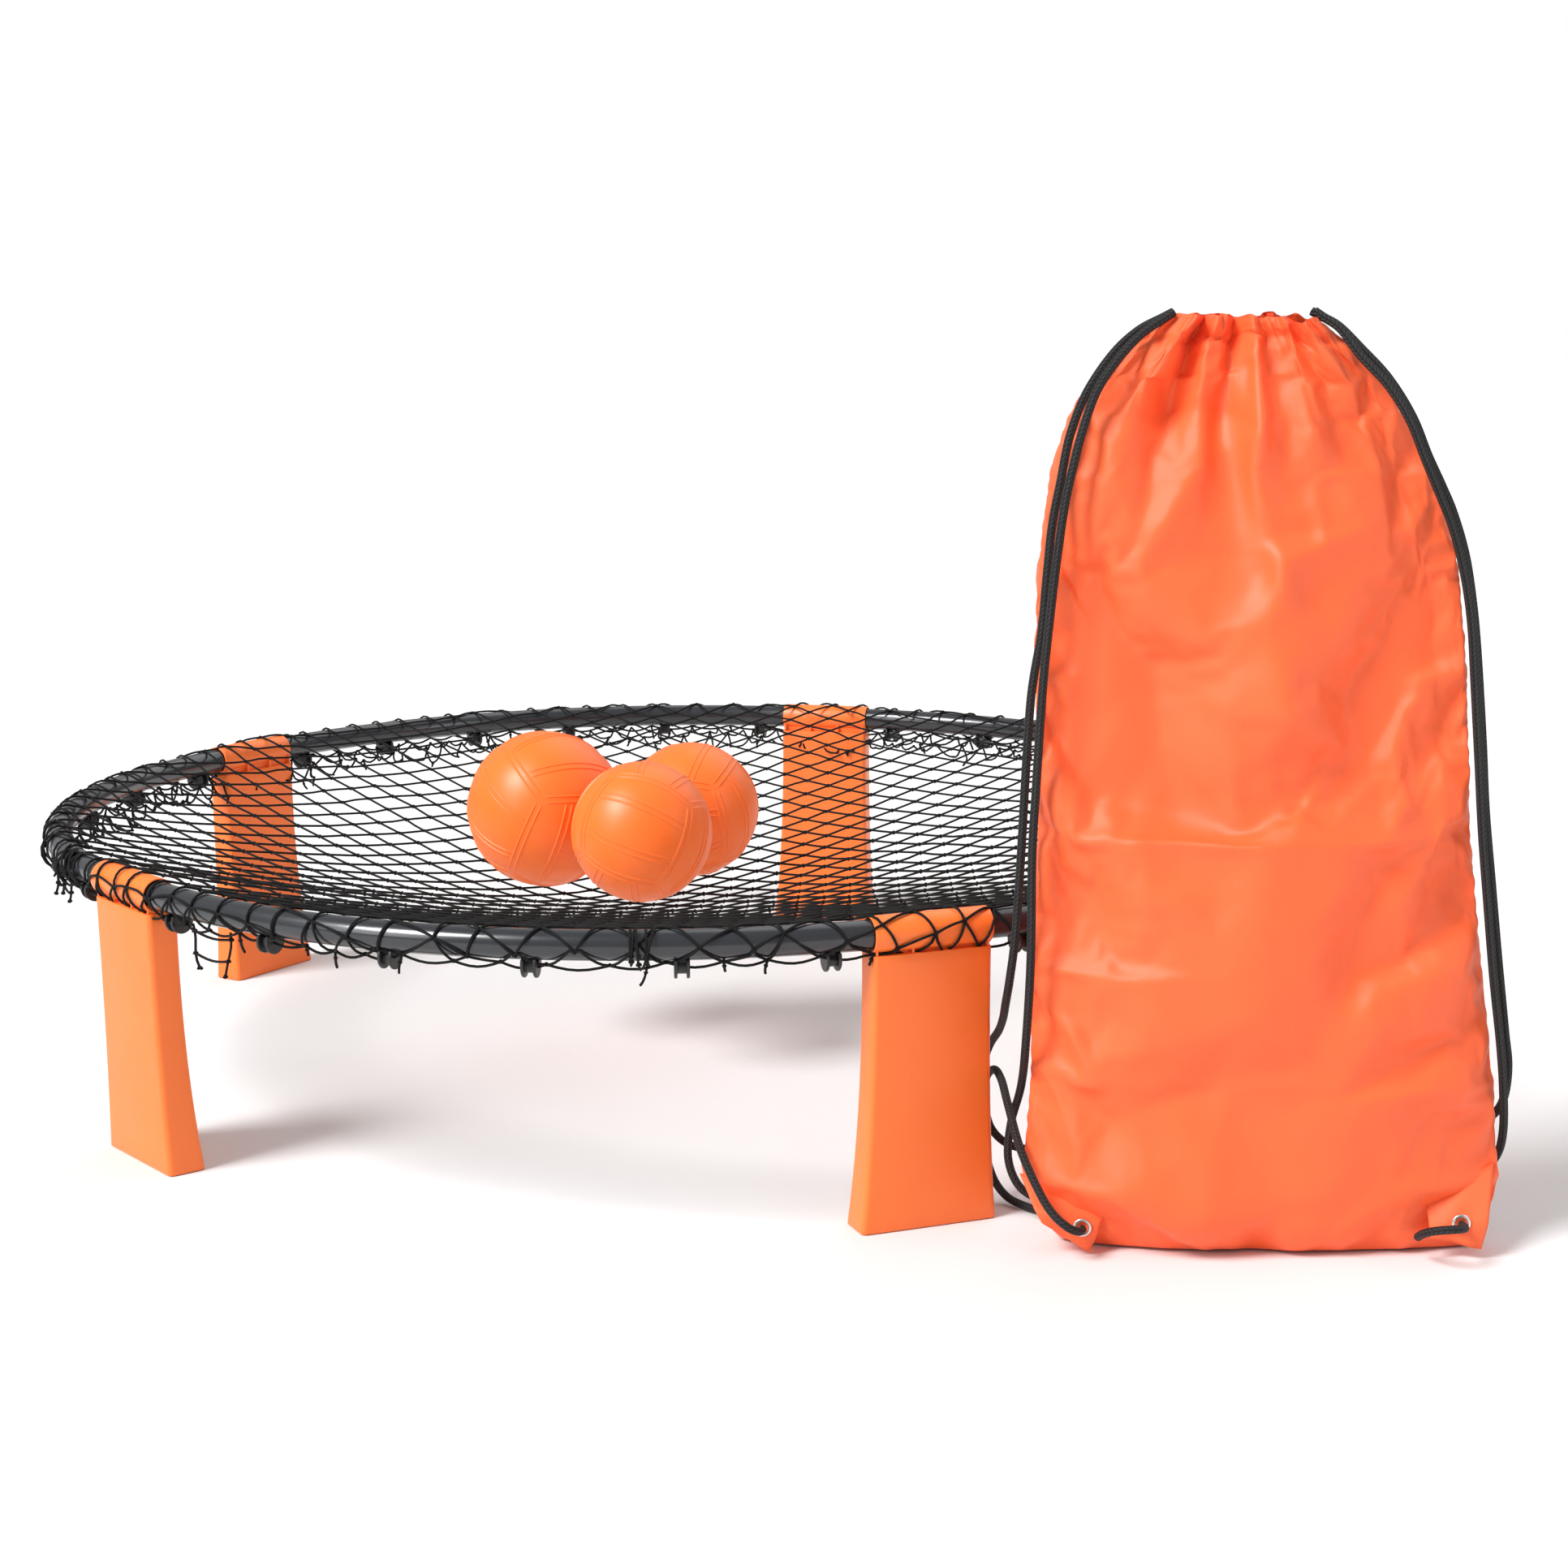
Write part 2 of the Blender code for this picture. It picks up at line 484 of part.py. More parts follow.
def smooth_route(points, spacing):
    """Evenly spaced points on the smooth curve through the route's own points."""
    steps = 24
    ends = [points[0] * 2 - points[1], *points, points[-1] * 2 - points[-2]]
    dense = []
    for a, b, c, d in zip(ends, ends[1:], ends[2:], ends[3:]):
        for i in range(steps):
            t = i / steps
            dense.append(0.5 * (2 * b + (c - a) * t + (2 * a - 5 * b + 4 * c - d) * t * t
                                + (3 * b - a - 3 * c + d) * t ** 3))
    dense.append(points[-1])
    run = [0.0]
    for p, q in zip(dense, dense[1:]):
        run.append(run[-1] + (q - p).length)
    count = max(2, round(run[-1] / spacing))
    evenly, place = [dense[0]], 0
    for i in range(1, count):
        goal = run[-1] * i / count
        while run[place + 1] < goal:
            place += 1
        share = (goal - run[place]) / (run[place + 1] - run[place])
        evenly.append(dense[place].lerp(dense[place + 1], share))
    return evenly + [dense[-1]]


def build_cords():
    for name, route in CORD_ROUTES.items():
        path = smooth_route([RING_CENTRE + Vector(p) for p in route], CORD_POINT_SPACING)
        curve = bpy.data.curves.new(name, "CURVE")
        curve.dimensions = "3D"
        curve.bevel_depth = CORD_DIAMETER / 2
        curve.bevel_resolution = 2
        curve.use_fill_caps = True
        spline = curve.splines.new("POLY")
        spline.points.add(len(path) - 1)
        for point, place in zip(spline.points, path):
            point.co = (*place, 1.0)
        add_object(name, curve, "cord_braid")


def main():
    clear_scene()
    make_finishes()
    build_tubes()
    build_legs()
    build_hooks()
    build_net()
    build_balls()
    build_bag()
    build_eyelets()
    build_cords()


main()
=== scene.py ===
"""Looks of the roundnet set: ring and legs, knotted net, ribbed balls, drawstring bag and its cords.

Lengths are metres. Places are given from the ring's centre on the ground unless a line says otherwise.
"""
import math
import random

import bpy
import numpy as np
from mathutils import Matrix, Quaternion, Vector, noise
from mathutils.bvhtree import BVHTree
from mathutils.geometry import delaunay_2d_cdt


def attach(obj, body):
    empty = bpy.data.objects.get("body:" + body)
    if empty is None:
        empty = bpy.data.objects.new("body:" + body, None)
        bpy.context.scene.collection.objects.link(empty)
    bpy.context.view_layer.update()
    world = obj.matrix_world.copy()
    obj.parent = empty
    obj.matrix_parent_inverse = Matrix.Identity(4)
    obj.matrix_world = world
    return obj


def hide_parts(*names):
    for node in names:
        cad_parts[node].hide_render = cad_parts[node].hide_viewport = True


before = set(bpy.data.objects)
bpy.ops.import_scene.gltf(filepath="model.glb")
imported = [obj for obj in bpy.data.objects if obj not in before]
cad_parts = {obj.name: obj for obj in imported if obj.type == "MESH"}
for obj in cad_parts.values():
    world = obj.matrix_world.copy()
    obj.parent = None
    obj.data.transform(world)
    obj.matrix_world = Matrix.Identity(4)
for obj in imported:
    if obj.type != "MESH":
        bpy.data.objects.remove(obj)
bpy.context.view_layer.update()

UP = Vector((0, 0, 1))
RING_CENTRE = Vector((-0.0256, 0.0014, 0.0))

# Camera at standing height, looking slightly down
# Focal length and picture width in one unit, and the sensor's width in millimetres
FOCAL_LENGTH, PICTURE_WIDTH = 3240.93, 1932
SENSOR = 36.0
CAMERA_PLACE = RING_CENTRE + Vector((0.17577, -1.93151, 0.54034))
CAMERA_YAW, CAMERA_PITCH, CAMERA_ROLL = -0.0520, 0.1748, -0.0056

# Ring, legs and hooks, with the same driving sizes as the solids
LEG_COUNT = 5
FIRST_LEG_ANGLE = math.radians(-65.9)
LEG_PITCH = 2 * math.pi / LEG_COUNT
RIM_HEIGHT = 0.1833
RIM_RADIUS_AT_LEG = 0.445
RIM_FLAT_HALF = 0.024
RIM_BEND_RADIUS = RIM_RADIUS_AT_LEG - RIM_FLAT_HALF / math.tan(LEG_PITCH / 2)
TUBE_RADIUS = 0.0092
TUBE_WALL = 0.0013
SLEEVE_RADIUS = 0.0112
SLEEVE_BORE = 0.0100
SLEEVE_HALF_LENGTH = 0.0382
LEDGE_DROP = 0.0115
LEG_TOP_HALF_WIDTH, LEG_FOOT_HALF_WIDTH = 0.0385, 0.0445
LEG_TOP_OUT, LEG_TOP_IN = 0.0085, 0.0128
LEG_FOOT_OUT, LEG_FOOT_IN = 0.0045, 0.0216
LEG_CORNER_RADIUS = 0.0035
LEG_WALL = 0.0026
LEG_CAVITY_DROP = 0.0185
FLARE_POWER = 2.4
RIB_THICKNESS = 0.0016
HOOKS_PER_TUBE = 6
HOOK_PITCH = math.radians(12.3)
SADDLE_RADIUS = 0.0103
FLANGE_RADIUS, FLANGE_DROP, FLANGE_SADDLE_ANGLE = 0.0078, 0.0122, math.radians(39.2)
HUB_RADIUS, HUB_DROP, HUB_SADDLE_ANGLE = 0.0042, 0.0130, math.radians(24.8)
HOOK_HALF_WIDTH = 0.0046
FLANGE_THICKNESS = 0.0019

# Net: square meshes of twine hung on the diagonal, pulled over the tubes
TWINE_RADIUS = 0.00088
STRAND_SIDES = 5
MESH_BAR = 0.0250
MESH_TURN = math.radians(46.5)
MESH_SQUASH = 0.94
NET_REACH = 0.52
NET_LAST_TURN = math.radians(150)
# The twine rises over this length from the tube onto a leg's sleeve
SLEEVE_RISE = 0.006
DIP_CENTRE = Vector((-0.070, -0.015))
DIP_HEIGHT = 0.1170
DIP_POWER = 1.35
# How far knots stray from the even net: in the dish, and near the ring
KNOT_WANDER, RIM_KNOT_WANDER, RIM_BAND = 0.0012, 0.0040, 0.02
# Tight stretch of the net's edge at the front, and the angle over which it goes slack
TAUT_MIDDLE, TAUT_HALF_SPAN, TAUT_FADE = math.radians(-84), math.radians(42), math.radians(30)
LOOSEST_GAP = 0.009
# Angles round the ring in degrees: where meshes hang outside, where twine is doubled, torn meshes and drop
OUTSIDE_SLACK = (-178, -146)
DOUBLED_AT = ((-92, -84), (-58, -50), (-152, -146), (-33, -27))
TORN_AT = ((-127.5, -122.8, 0.027), (-163.0, -158.5, 0.024), (-155.0, -151.5, 0.018))
# Rows of slack meshes inside the ring: how many round it, how far each row drops and moves inwards,
# the least slack that makes a mesh, the longest strand
LOOSE_COLUMNS, LOOSE_ROW_DROP, LOOSE_ROW_SHIFT = 150, 0.0085, 0.006
LEAST_SLACK, LONGEST_LOOSE_STRAND = 0.12, 0.035

BALLS = {
    "large": (Vector((-0.1035, -0.0060, 0.1806)), 0.0580, Vector((-0.35, 0.80, 0.49))),
    "front": (Vector((-0.0225, -0.0860, 0.1790)), 0.0505, Vector((0.25, 0.60, 0.76))),
    "back": (Vector((0.0042, 0.0140, 0.1768)), 0.0505, Vector((0.50, 0.80, 0.33))),
}

# Bag: level sections, each (height, left edge, right edge, half depth)
BAG_DEPTH_MIDDLE = -0.428
BAG_SECTIONS = [
    (0.0000, 0.2620, 0.5050, 0.0250), (0.0130, 0.2515, 0.5115, 0.0270), (0.0420, 0.2385, 0.5165, 0.0300),
    (0.1000, 0.2425, 0.5110, 0.0330), (0.1700, 0.2420, 0.5020, 0.0350), (0.2500, 0.2450, 0.4920, 0.0360),
    (0.3400, 0.2425, 0.4870, 0.0345), (0.4000, 0.2435, 0.4800, 0.0320), (0.4550, 0.2495, 0.4640, 0.0270),
    (0.4850, 0.2590, 0.4470, 0.0220), (0.5050, 0.2710, 0.4330, 0.0180), (0.5250, 0.2960, 0.4150, 0.0150),
    (0.5380, 0.3120, 0.3990, 0.0125), (0.5430, 0.3165, 0.3955, 0.0105),
]
TAB_FRONT = -0.4545
EYELETS = {"left": (0.2719, 0.0167), "right": (0.4907, 0.0220)}
EYELET_RING_RADIUS, EYELET_WIRE_RADIUS = 0.0046, 0.0011

CORD_DIAMETER = 0.005
# Points of each cord's route in tenths of a millimetre
CORD_STEPS_PER_METRE = 10000
CORD_ROUTES = {
    "left_outer": [
        (3120, -4240, 5405), (2975, -4265, 5330), (2830, -4340, 5200), (2685, -4410, 4990),
        (2594, -4450, 4757), (2545, -4465, 4506), (2500, -4460, 4252), (2473, -4445, 3952),
        (2450, -4430, 3654), (2410, -4420, 3400), (2390, -4425, 3224), (2371, -4430, 2897),
        (2344, -4450, 2331), (2318, -4460, 1900), (2290, -4400, 1620), (2272, -4250, 1430),
        (2265, -4050, 1290), (2245, -3860, 1160), (2200, -3690, 1030), (2165, -3580, 880),
        (2150, -3525, 700), (2152, -3500, 500), (2177, -3510, 300), (2230, -3565, 130),
        (2310, -3660, 45), (2410, -3775, 27), (2520, -3880, 27), (2630, -3970, 29),
        (2740, -4050, 45),
    ],
    "left_inner": [
        (3120, -4335, 5400), (2985, -4370, 5310), (2850, -4440, 5170), (2735, -4500, 5000),
        (2662, -4540, 4800), (2610, -4565, 4600), (2565, -4570, 4383), (2525, -4565, 4084),
        (2492, -4550, 3765), (2462, -4540, 3444), (2444, -4535, 3166), (2425, -4535, 2793),
        (2406, -4540, 2384), (2404, -4545, 1784), (2385, -4450, 1250), (2372, -4150, 900),
        (2320, -3990, 620), (2305, -3985, 400), (2365, -4010, 240), (2475, -3995, 155),
        (2585, -3940, 150), (2670, -3870, 195), (2685, -3810, 280), (2620, -3780, 355),
        (2510, -3785, 390), (2400, -3800, 400), (2295, -3780, 430), (2215, -3710, 490),
        (2178, -3660, 585), (2168, -3638, 700), (2182, -3670, 820), (2225, -3785, 895),
        (2262, -3940, 875), (2295, -4150, 785), (2358, -4420, 605), (2445, -4570, 430),
        (2530, -4680, 305), (2625, -4720, 225), (2695, -4670, 182), (2719, -4582, 167),
    ],
    "right_outer": [
        (3995, -4240, 5405), (4090, -4280, 5350), (4210, -4340, 5225), (4353, -4400, 5065),
        (4486, -4430, 4855), (4580, -4430, 4640), (4665, -4405, 4475), (4745, -4370, 4310),
        (4825, -4335, 4080), (4880, -4310, 3820), (4920, -4300, 3530), (4970, -4295, 3030),
        (5005, -4295, 2611), (5055, -4295, 2200), (5110, -4295, 1754), (5170, -4290, 1304),
        (5205, -4260, 1076), (5205, -4170, 850), (5160, -4040, 700), (5070, -3920, 620),
        (4975, -3860, 500), (4920, -3865, 340), (4900, -3920, 190), (4890, -3990, 90),
    ],
    "right_inner": [
        (3995, -4335, 5400), (4085, -4375, 5335), (4195, -4430, 5185), (4335, -4490, 5030),
        (4455, -4520, 4840), (4548, -4520, 4625), (4635, -4490, 4440), (4725, -4460, 4240),
        (4805, -4430, 3980), (4860, -4405, 3700), (4895, -4395, 3350), (4935, -4395, 2900),
        (4970, -4395, 2500), (5015, -4395, 2100), (5068, -4395, 1650), (5125, -4390, 1250),
        (5160, -4355, 980), (5190, -4270, 700), (5185, -4150, 500), (5110, -4030, 360),
        (5020, -3960, 250), (4985, -3965, 130),
    ],
    "right_tail": [
        (4907, -4582, 220), (4907, -4665, 232), (4880, -4738, 250), (4825, -4785, 262),
        (4757, -4788, 258), (4698, -4750, 235), (4664, -4680, 195), (4655, -4600, 150),
    ],
}
# Cords that run on into the channel at the bag's mouth
IN_CHANNEL = ("left_outer", "left_inner", "right_outer", "right_inner")
CHANNEL_REACH = 0.006


# ---------------------------------------------------------------- helpers

def link(thing):
    bpy.context.scene.collection.objects.link(thing)


def spoke(angle):
    return Vector((math.cos(angle), math.sin(angle), 0))


def centred(angle, period=2 * math.pi):
    """The same angle brought within half a period of nought."""
    return (angle + period / 2) % period - period / 2


def within(value, low=0.0, high=1.0):
    return min(max(value, low), high)


# ---------------------------------------------------------------- camera

def place_camera():
    """Makes the camera and returns its right, up and forward directions."""
    cos_pitch = math.cos(CAMERA_PITCH)
    forward = Vector((math.sin(CAMERA_YAW) * cos_pitch, math.cos(CAMERA_YAW) * cos_pitch,
                      -math.sin(CAMERA_PITCH)))
    right = forward.cross(UP).normalized()
    up = right.cross(forward)
    rolled_right = right * math.cos(CAMERA_ROLL) + up * math.sin(CAMERA_ROLL)
    rolled_up = up * math.cos(CAMERA_ROLL) - right * math.sin(CAMERA_ROLL)
    data = bpy.data.cameras.new("camera")
    data.sensor_width = SENSOR
    data.lens = FOCAL_LENGTH * SENSOR / PICTURE_WIDTH
    camera = bpy.data.objects.new("camera", data)
    turn = Matrix((rolled_right, rolled_up, -forward)).transposed().to_4x4()
    camera.matrix_world = Matrix.Translation(CAMERA_PLACE) @ turn
    link(camera)
    bpy.context.scene.camera = camera
    return rolled_right, rolled_up, forward


# ---------------------------------------------------------------- mesh makers

class Shape:
    """Collects points, faces and texture places, and turns them into one mesh."""

    def __init__(self):
        self.points = []
        self.faces = []
        self.places = []

    def add_face(self, corners, places):
        self.faces.append(corners)
        self.places.extend(places)

    def add_tube(self, line, radius, sides, texture_unit=None, caps=True, closed=False):
        """Round tube along a line of points. radius is a number or one number for each point."""
        line = np.array([tuple(p) for p in line], float)
        count = len(line)
        radii = np.full(count, radius) if np.isscalar(radius) else np.array(radius, float)
        unit = texture_unit or 2 * radii[0]
        if closed:
            tangents = np.roll(line, -1, 0) - np.roll(line, 1, 0)
        else:
            tangents = np.gradient(line, axis=0)
        tangents /= np.linalg.norm(tangents, axis=1)[:, None] + 1e-12
        side = np.cross(tangents[0], (0.0, 0.0, 1.0))
        if np.linalg.norm(side) < 1e-3:
            side = np.cross(tangents[0], (1.0, 0.0, 0.0))
        turns = np.arange(sides) * 2 * math.pi / sides
        cos_turns, sin_turns = np.cos(turns)[:, None], np.sin(turns)[:, None]
        run = np.concatenate(([0.0], np.cumsum(np.linalg.norm(np.diff(line, axis=0), axis=1)))) / unit
        first = len(self.points)
        for i in range(count):
            side = side - tangents[i] * np.dot(side, tangents[i])
            side /= np.linalg.norm(side) + 1e-12
            other = np.cross(tangents[i], side)
            self.points.extend(line[i] + radii[i] * (cos_turns * side + sin_turns * other))
        bands = count if closed else count - 1
        for i in range(bands):
            a, b = first + i * sides, first + ((i + 1) % count) * sides
            low = run[i]
            high = run[i + 1] if i + 1 < count else run[i] + (run[1] - run[0])
            for j in range(sides):
                k = (j + 1) % sides
                u, w = j / sides, (j + 1) / sides
                self.add_face((a + j, a + k, b + k, b + j), ((u, low), (w, low), (w, high), (u, high)))
        if caps and not closed:
            last = first + (count - 1) * sides
            self.add_face(tuple(range(first + sides - 1, first - 1, -1)), [(0.5, run[0])] * sides)
            self.add_face(tuple(range(last, last + sides)), [(0.5, run[-1])] * sides)

    def add_loft(self, rings, closed_loop=False, caps=True):
        """Skin through rings of equal point count. A ring of one point is a pole."""
        loops = []
        for ring in rings:
            loops.append(list(range(len(self.points), len(self.points) + len(ring))))
            self.points.extend(tuple(p) for p in ring)
        pairs = list(zip(loops, loops[1:]))
        if closed_loop:
            pairs.append((loops[-1], loops[0]))
        for row, (low, high) in enumerate(pairs):
            count = max(len(low), len(high))
            for i in range(count):
                j = (i + 1) % count
                corners = [low[i % len(low)], low[j % len(low)], high[j % len(high)], high[i % len(high)]]
                corners = tuple(dict.fromkeys(corners))
                u, w = i / count, (i + 1) / count
                spots = [(u, row), (w, row), (w, row + 1), (u, row + 1)]
                self.add_face(corners, spots[:len(corners)])
        if caps and not closed_loop:
            for loop in (loops[0][::-1], loops[-1]):
                if len(loop) > 2:
                    self.add_face(tuple(loop), [(0.5, 0.5)] * len(loop))

    def add_grid(self, grid, size=(1.0, 1.0), flip=False):
        """Open sheet through rows of points. size is the cloth's width and height for its texture."""
        rows, columns = len(grid), len(grid[0])
        first = len(self.points)
        for row in grid:
            self.points.extend(tuple(p) for p in row)
        for i in range(rows - 1):
            for j in range(columns - 1):
                a = first + i * columns + j
                corners = [a, a + 1, a + columns + 1, a + columns]
                u, w = size[0] * j / (columns - 1), size[0] * (j + 1) / (columns - 1)
                low, high = size[1] * i / (rows - 1), size[1] * (i + 1) / (rows - 1)
                spots = [(u, low), (w, low), (w, high), (u, high)]
                if flip:
                    corners.reverse()
                    spots.reverse()
                self.add_face(tuple(corners), spots)

    def mesh(self, name, sharp_angle=35):
        mesh = bpy.data.meshes.new(name)
        mesh.from_pydata([tuple(map(float, p)) for p in self.points], [], self.faces)
        layer = mesh.uv_layers.new(name="places")
        layer.data.foreach_set("uv", np.array(self.places, np.float32).ravel())
        mesh.update()
        mesh.shade_smooth()
        if sharp_angle:
            mesh.set_sharp_from_angle(angle=math.radians(sharp_angle))
        return mesh


def add_piece(name, mesh, material, body, replaces=(), matrix=None):
    """Object for one piece of the set, riding on its body."""
    if not mesh.materials:
        mesh.materials.append(material)
    piece = bpy.data.objects.new(name, mesh)
    link(piece)
    if matrix is not None:
        piece.matrix_world = matrix
    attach(piece, body)
    if replaces:
        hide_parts(*replaces)
    return piece


def circle(radius, sides, centre, across, up, start=0.0):
    turns = [start + 2 * math.pi * i / sides for i in range(sides)]
    return [centre + across * (radius * math.cos(a)) + up * (radius * math.sin(a)) for a in turns]


def smooth_route(points, spacing):
    """Evenly spaced points on the smooth curve through the route's own points."""
    steps = 24
    ends = [points[0] * 2 - points[1], *points, points[-1] * 2 - points[-2]]
    dense = []
    for a, b, c, d in zip(ends, ends[1:], ends[2:], ends[3:]):
        for i in range(steps):
            t = i / steps
            dense.append(0.5 * (2 * b + (c - a) * t + (2 * a - 5 * b + 4 * c - d) * t * t
                                + (3 * b - a - 3 * c + d) * t ** 3))
    dense.append(points[-1])
    run = [0.0]
    for p, q in zip(dense, dense[1:]):
        run.append(run[-1] + (q - p).length)
    count = max(2, round(run[-1] / spacing))
    evenly, place = [dense[0]], 0
    for i in range(1, count):
        goal = run[-1] * i / count
        while run[place + 1] < goal:
            place += 1
        share = (goal - run[place]) / (run[place + 1] - run[place])
        evenly.append(dense[place].lerp(dense[place + 1], share))
    return evenly + [dense[-1]]


# ---------------------------------------------------------------- finishes

def new_group(name, inputs, outputs):
    """Empty shader node group. inputs and outputs are (name, kind, value) and (name, kind)."""
    group = bpy.data.node_groups.new(name, "ShaderNodeTree")
    for label, kind, value in inputs:
        socket = group.interface.new_socket(label, in_out="INPUT", socket_type=kind)
        if value is not None:
            socket.default_value = value
    for label, kind in outputs:
        group.interface.new_socket(label, in_out="OUTPUT", socket_type=kind)
    start = group.nodes.new("NodeGroupInput")
    end = group.nodes.new("NodeGroupOutput")
    return group, start.outputs, end.inputs


def feed(tree, socket, value):
    """Gives an input socket its value: another socket, a number or a colour."""
    if isinstance(value, bpy.types.NodeSocket):
        tree.links.new(value, socket)
    elif value is not None:
        socket.default_value = value


def sum_node(tree, operation, a, b=None):
    """Math node on two sockets or numbers. Returns its output socket."""
    node = tree.nodes.new("ShaderNodeMath")
    node.operation = operation
    feed(tree, node.inputs[0], a)
    feed(tree, node.inputs[1], b)
    return node.outputs[0]


def mix_colours(tree, share, first, second):
    """Colour between two sockets or colours. Returns its output socket."""
    node = tree.nodes.new("ShaderNodeMix")
    node.data_type = "RGBA"
    for place, value in (("Factor", share), (6, first), (7, second)):
        feed(tree, node.inputs[place], value)
    return node.outputs[2]


def make_braid_group():
    """Herringbone braid on a tube: strands lean one way in one column and the other way in the next."""
    group, given, made = new_group(
        "braid", [("Place", "NodeSocketVector", None), ("Columns", "NodeSocketFloat", 8.0),
                  ("Pitch", "NodeSocketFloat", 0.5)],
        [("Height", "NodeSocketFloat"), ("Gap shade", "NodeSocketFloat")])
    split = group.nodes.new("ShaderNodeSeparateXYZ")
    group.links.new(given["Place"], split.inputs[0])
    column = sum_node(group, "MULTIPLY", split.outputs["X"], given["Columns"])
    across = sum_node(group, "SUBTRACT", sum_node(group, "FRACT", column), 0.5)
    odd = sum_node(group, "MODULO", sum_node(group, "FLOOR", column), 2.0)
    lean = sum_node(group, "SUBTRACT", 1.0, sum_node(group, "MULTIPLY", odd, 2.0))
    along = sum_node(group, "DIVIDE", split.outputs["Y"], given["Pitch"])
    phase = sum_node(group, "ADD", along, sum_node(group, "MULTIPLY", lean, across))
    strand = sum_node(group, "SINE", sum_node(group, "MULTIPLY", sum_node(group, "FRACT", phase), math.pi))
    ridge = sum_node(group, "COSINE", sum_node(group, "MULTIPLY", across, math.pi))
    height = sum_node(group, "POWER", sum_node(group, "MULTIPLY", strand, ridge), 0.6)
    group.links.new(height, made["Height"])
    # Gap shade is one less the strand height: the mask for the painted shade in the grooves between strands
    group.links.new(sum_node(group, "SUBTRACT", 1.0, height), made["Gap shade"])
    return group


def make_weave_group():
    """Plain weave on a sheet whose texture places are metres."""
    group, given, made = new_group(
        "weave", [("Place", "NodeSocketVector", None), ("Threads per metre", "NodeSocketFloat", 1400.0)],
        [("Height", "NodeSocketFloat")])
    split = group.nodes.new("ShaderNodeSeparateXYZ")
    group.links.new(given["Place"], split.inputs[0])
    waves = []
    for axis in ("X", "Y"):
        turn = sum_node(group, "MULTIPLY", split.outputs[axis], given["Threads per metre"])
        wave = sum_node(group, "SINE", sum_node(group, "MULTIPLY", turn, math.pi))
        waves.append(sum_node(group, "ABSOLUTE", wave))
    group.links.new(sum_node(group, "MULTIPLY", waves[0], waves[1]), made["Height"])
    return group


def make_drift_group():
    """Slow change of a colour over the surface, with finer specks."""
    group, given, made = new_group(
        "colour_drift", [("Colour", "NodeSocketColor", None), ("Deep colour", "NodeSocketColor", None),
                         ("Place", "NodeSocketVector", None), ("Scale", "NodeSocketFloat", 20.0),
                         ("Amount", "NodeSocketFloat", 0.3)],
        [("Colour", "NodeSocketColor"), ("Mask", "NodeSocketFloat")])
    cloud = group.nodes.new("ShaderNodeTexNoise")
    cloud.inputs["Detail"].default_value = 5.0
    group.links.new(given["Place"], cloud.inputs["Vector"])
    group.links.new(given["Scale"], cloud.inputs["Scale"])
    share = sum_node(group, "MULTIPLY", cloud.outputs[0], given["Amount"])
    group.links.new(mix_colours(group, share, given["Colour"], given["Deep colour"]), made["Colour"])
    group.links.new(cloud.outputs[0], made["Mask"])
    return group


def make_edge_group():
    """Mask of rubbed edges: corners that stick out, broken up by specks."""
    group, given, made = new_group(
        "edge_rub", [("Place", "NodeSocketVector", None), ("Amount", "NodeSocketFloat", 0.5)],
        [("Mask", "NodeSocketFloat")])
    shape = group.nodes.new("ShaderNodeNewGeometry")
    sharp = sum_node(group, "MULTIPLY", sum_node(group, "SUBTRACT", shape.outputs["Pointiness"], 0.53), 9.0)
    specks = group.nodes.new("ShaderNodeTexNoise")
    specks.inputs["Scale"].default_value = 160.0
    group.links.new(given["Place"], specks.inputs["Vector"])
    rubbed = sum_node(group, "MULTIPLY", sharp, specks.outputs[0])
    clamped = sum_node(group, "MINIMUM", sum_node(group, "MAXIMUM", rubbed, 0.0), 1.0)
    group.links.new(sum_node(group, "MULTIPLY", clamped, given["Amount"]), made["Mask"])
    return group


def place_group(tree, group, **values):
    node = tree.nodes.new("ShaderNodeGroup")
    node.node_tree = group
    for label, value in values.items():
        feed(tree, node.inputs[label.replace("_", " ")], value)
    return node


def add_bump(tree, shader, height, distance, strength=1.0):
    bump = tree.nodes.new("ShaderNodeBump")
    bump.inputs["Distance"].default_value = distance
    bump.inputs["Strength"].default_value = strength
    tree.links.new(height, bump.inputs["Height"])
    tree.links.new(bump.outputs[0], shader.inputs["Normal"])


def start_finish(name, roughness, **constants):
    material = bpy.data.materials.new(name)
    material.use_nodes = True
    tree = material.node_tree
    shader = tree.nodes["Principled BSDF"]
    shader.inputs["Roughness"].default_value = roughness
    for label, value in constants.items():
        shader.inputs[label.replace("_", " ")].default_value = value
    places = tree.nodes.new("ShaderNodeTexCoord")
    return material, tree, shader, places


def moulded_plastic(name, colour, deep, roughness, grain=0.00004, rub=0.25,
                    rub_colour=(1, 0.5, 0.25, 1), **constants):
    """Moulded plastic: slow drift of colour, fine grain, edges rubbed paler and duller."""
    material, tree, shader, places = start_finish(name, roughness, **constants)
    here = places.outputs["Object"]
    drift = place_group(tree, GROUPS["drift"], Colour=(*colour, 1), Deep_colour=(*deep, 1), Place=here,
                        Scale=14.0, Amount=0.55)
    edge = place_group(tree, GROUPS["edge"], Place=here, Amount=rub)
    worn = mix_colours(tree, edge.outputs["Mask"], drift.outputs["Colour"], rub_colour)
    tree.links.new(worn, shader.inputs["Base Color"])
    dull = sum_node(tree, "MULTIPLY", drift.outputs["Mask"], 0.16)
    tree.links.new(sum_node(tree, "ADD", dull, roughness - 0.08), shader.inputs["Roughness"])
    pores = tree.nodes.new("ShaderNodeTexNoise")
    pores.inputs["Scale"].default_value = 900.0
    tree.links.new(here, pores.inputs["Vector"])
    add_bump(tree, shader, pores.outputs[0], grain)
    return material


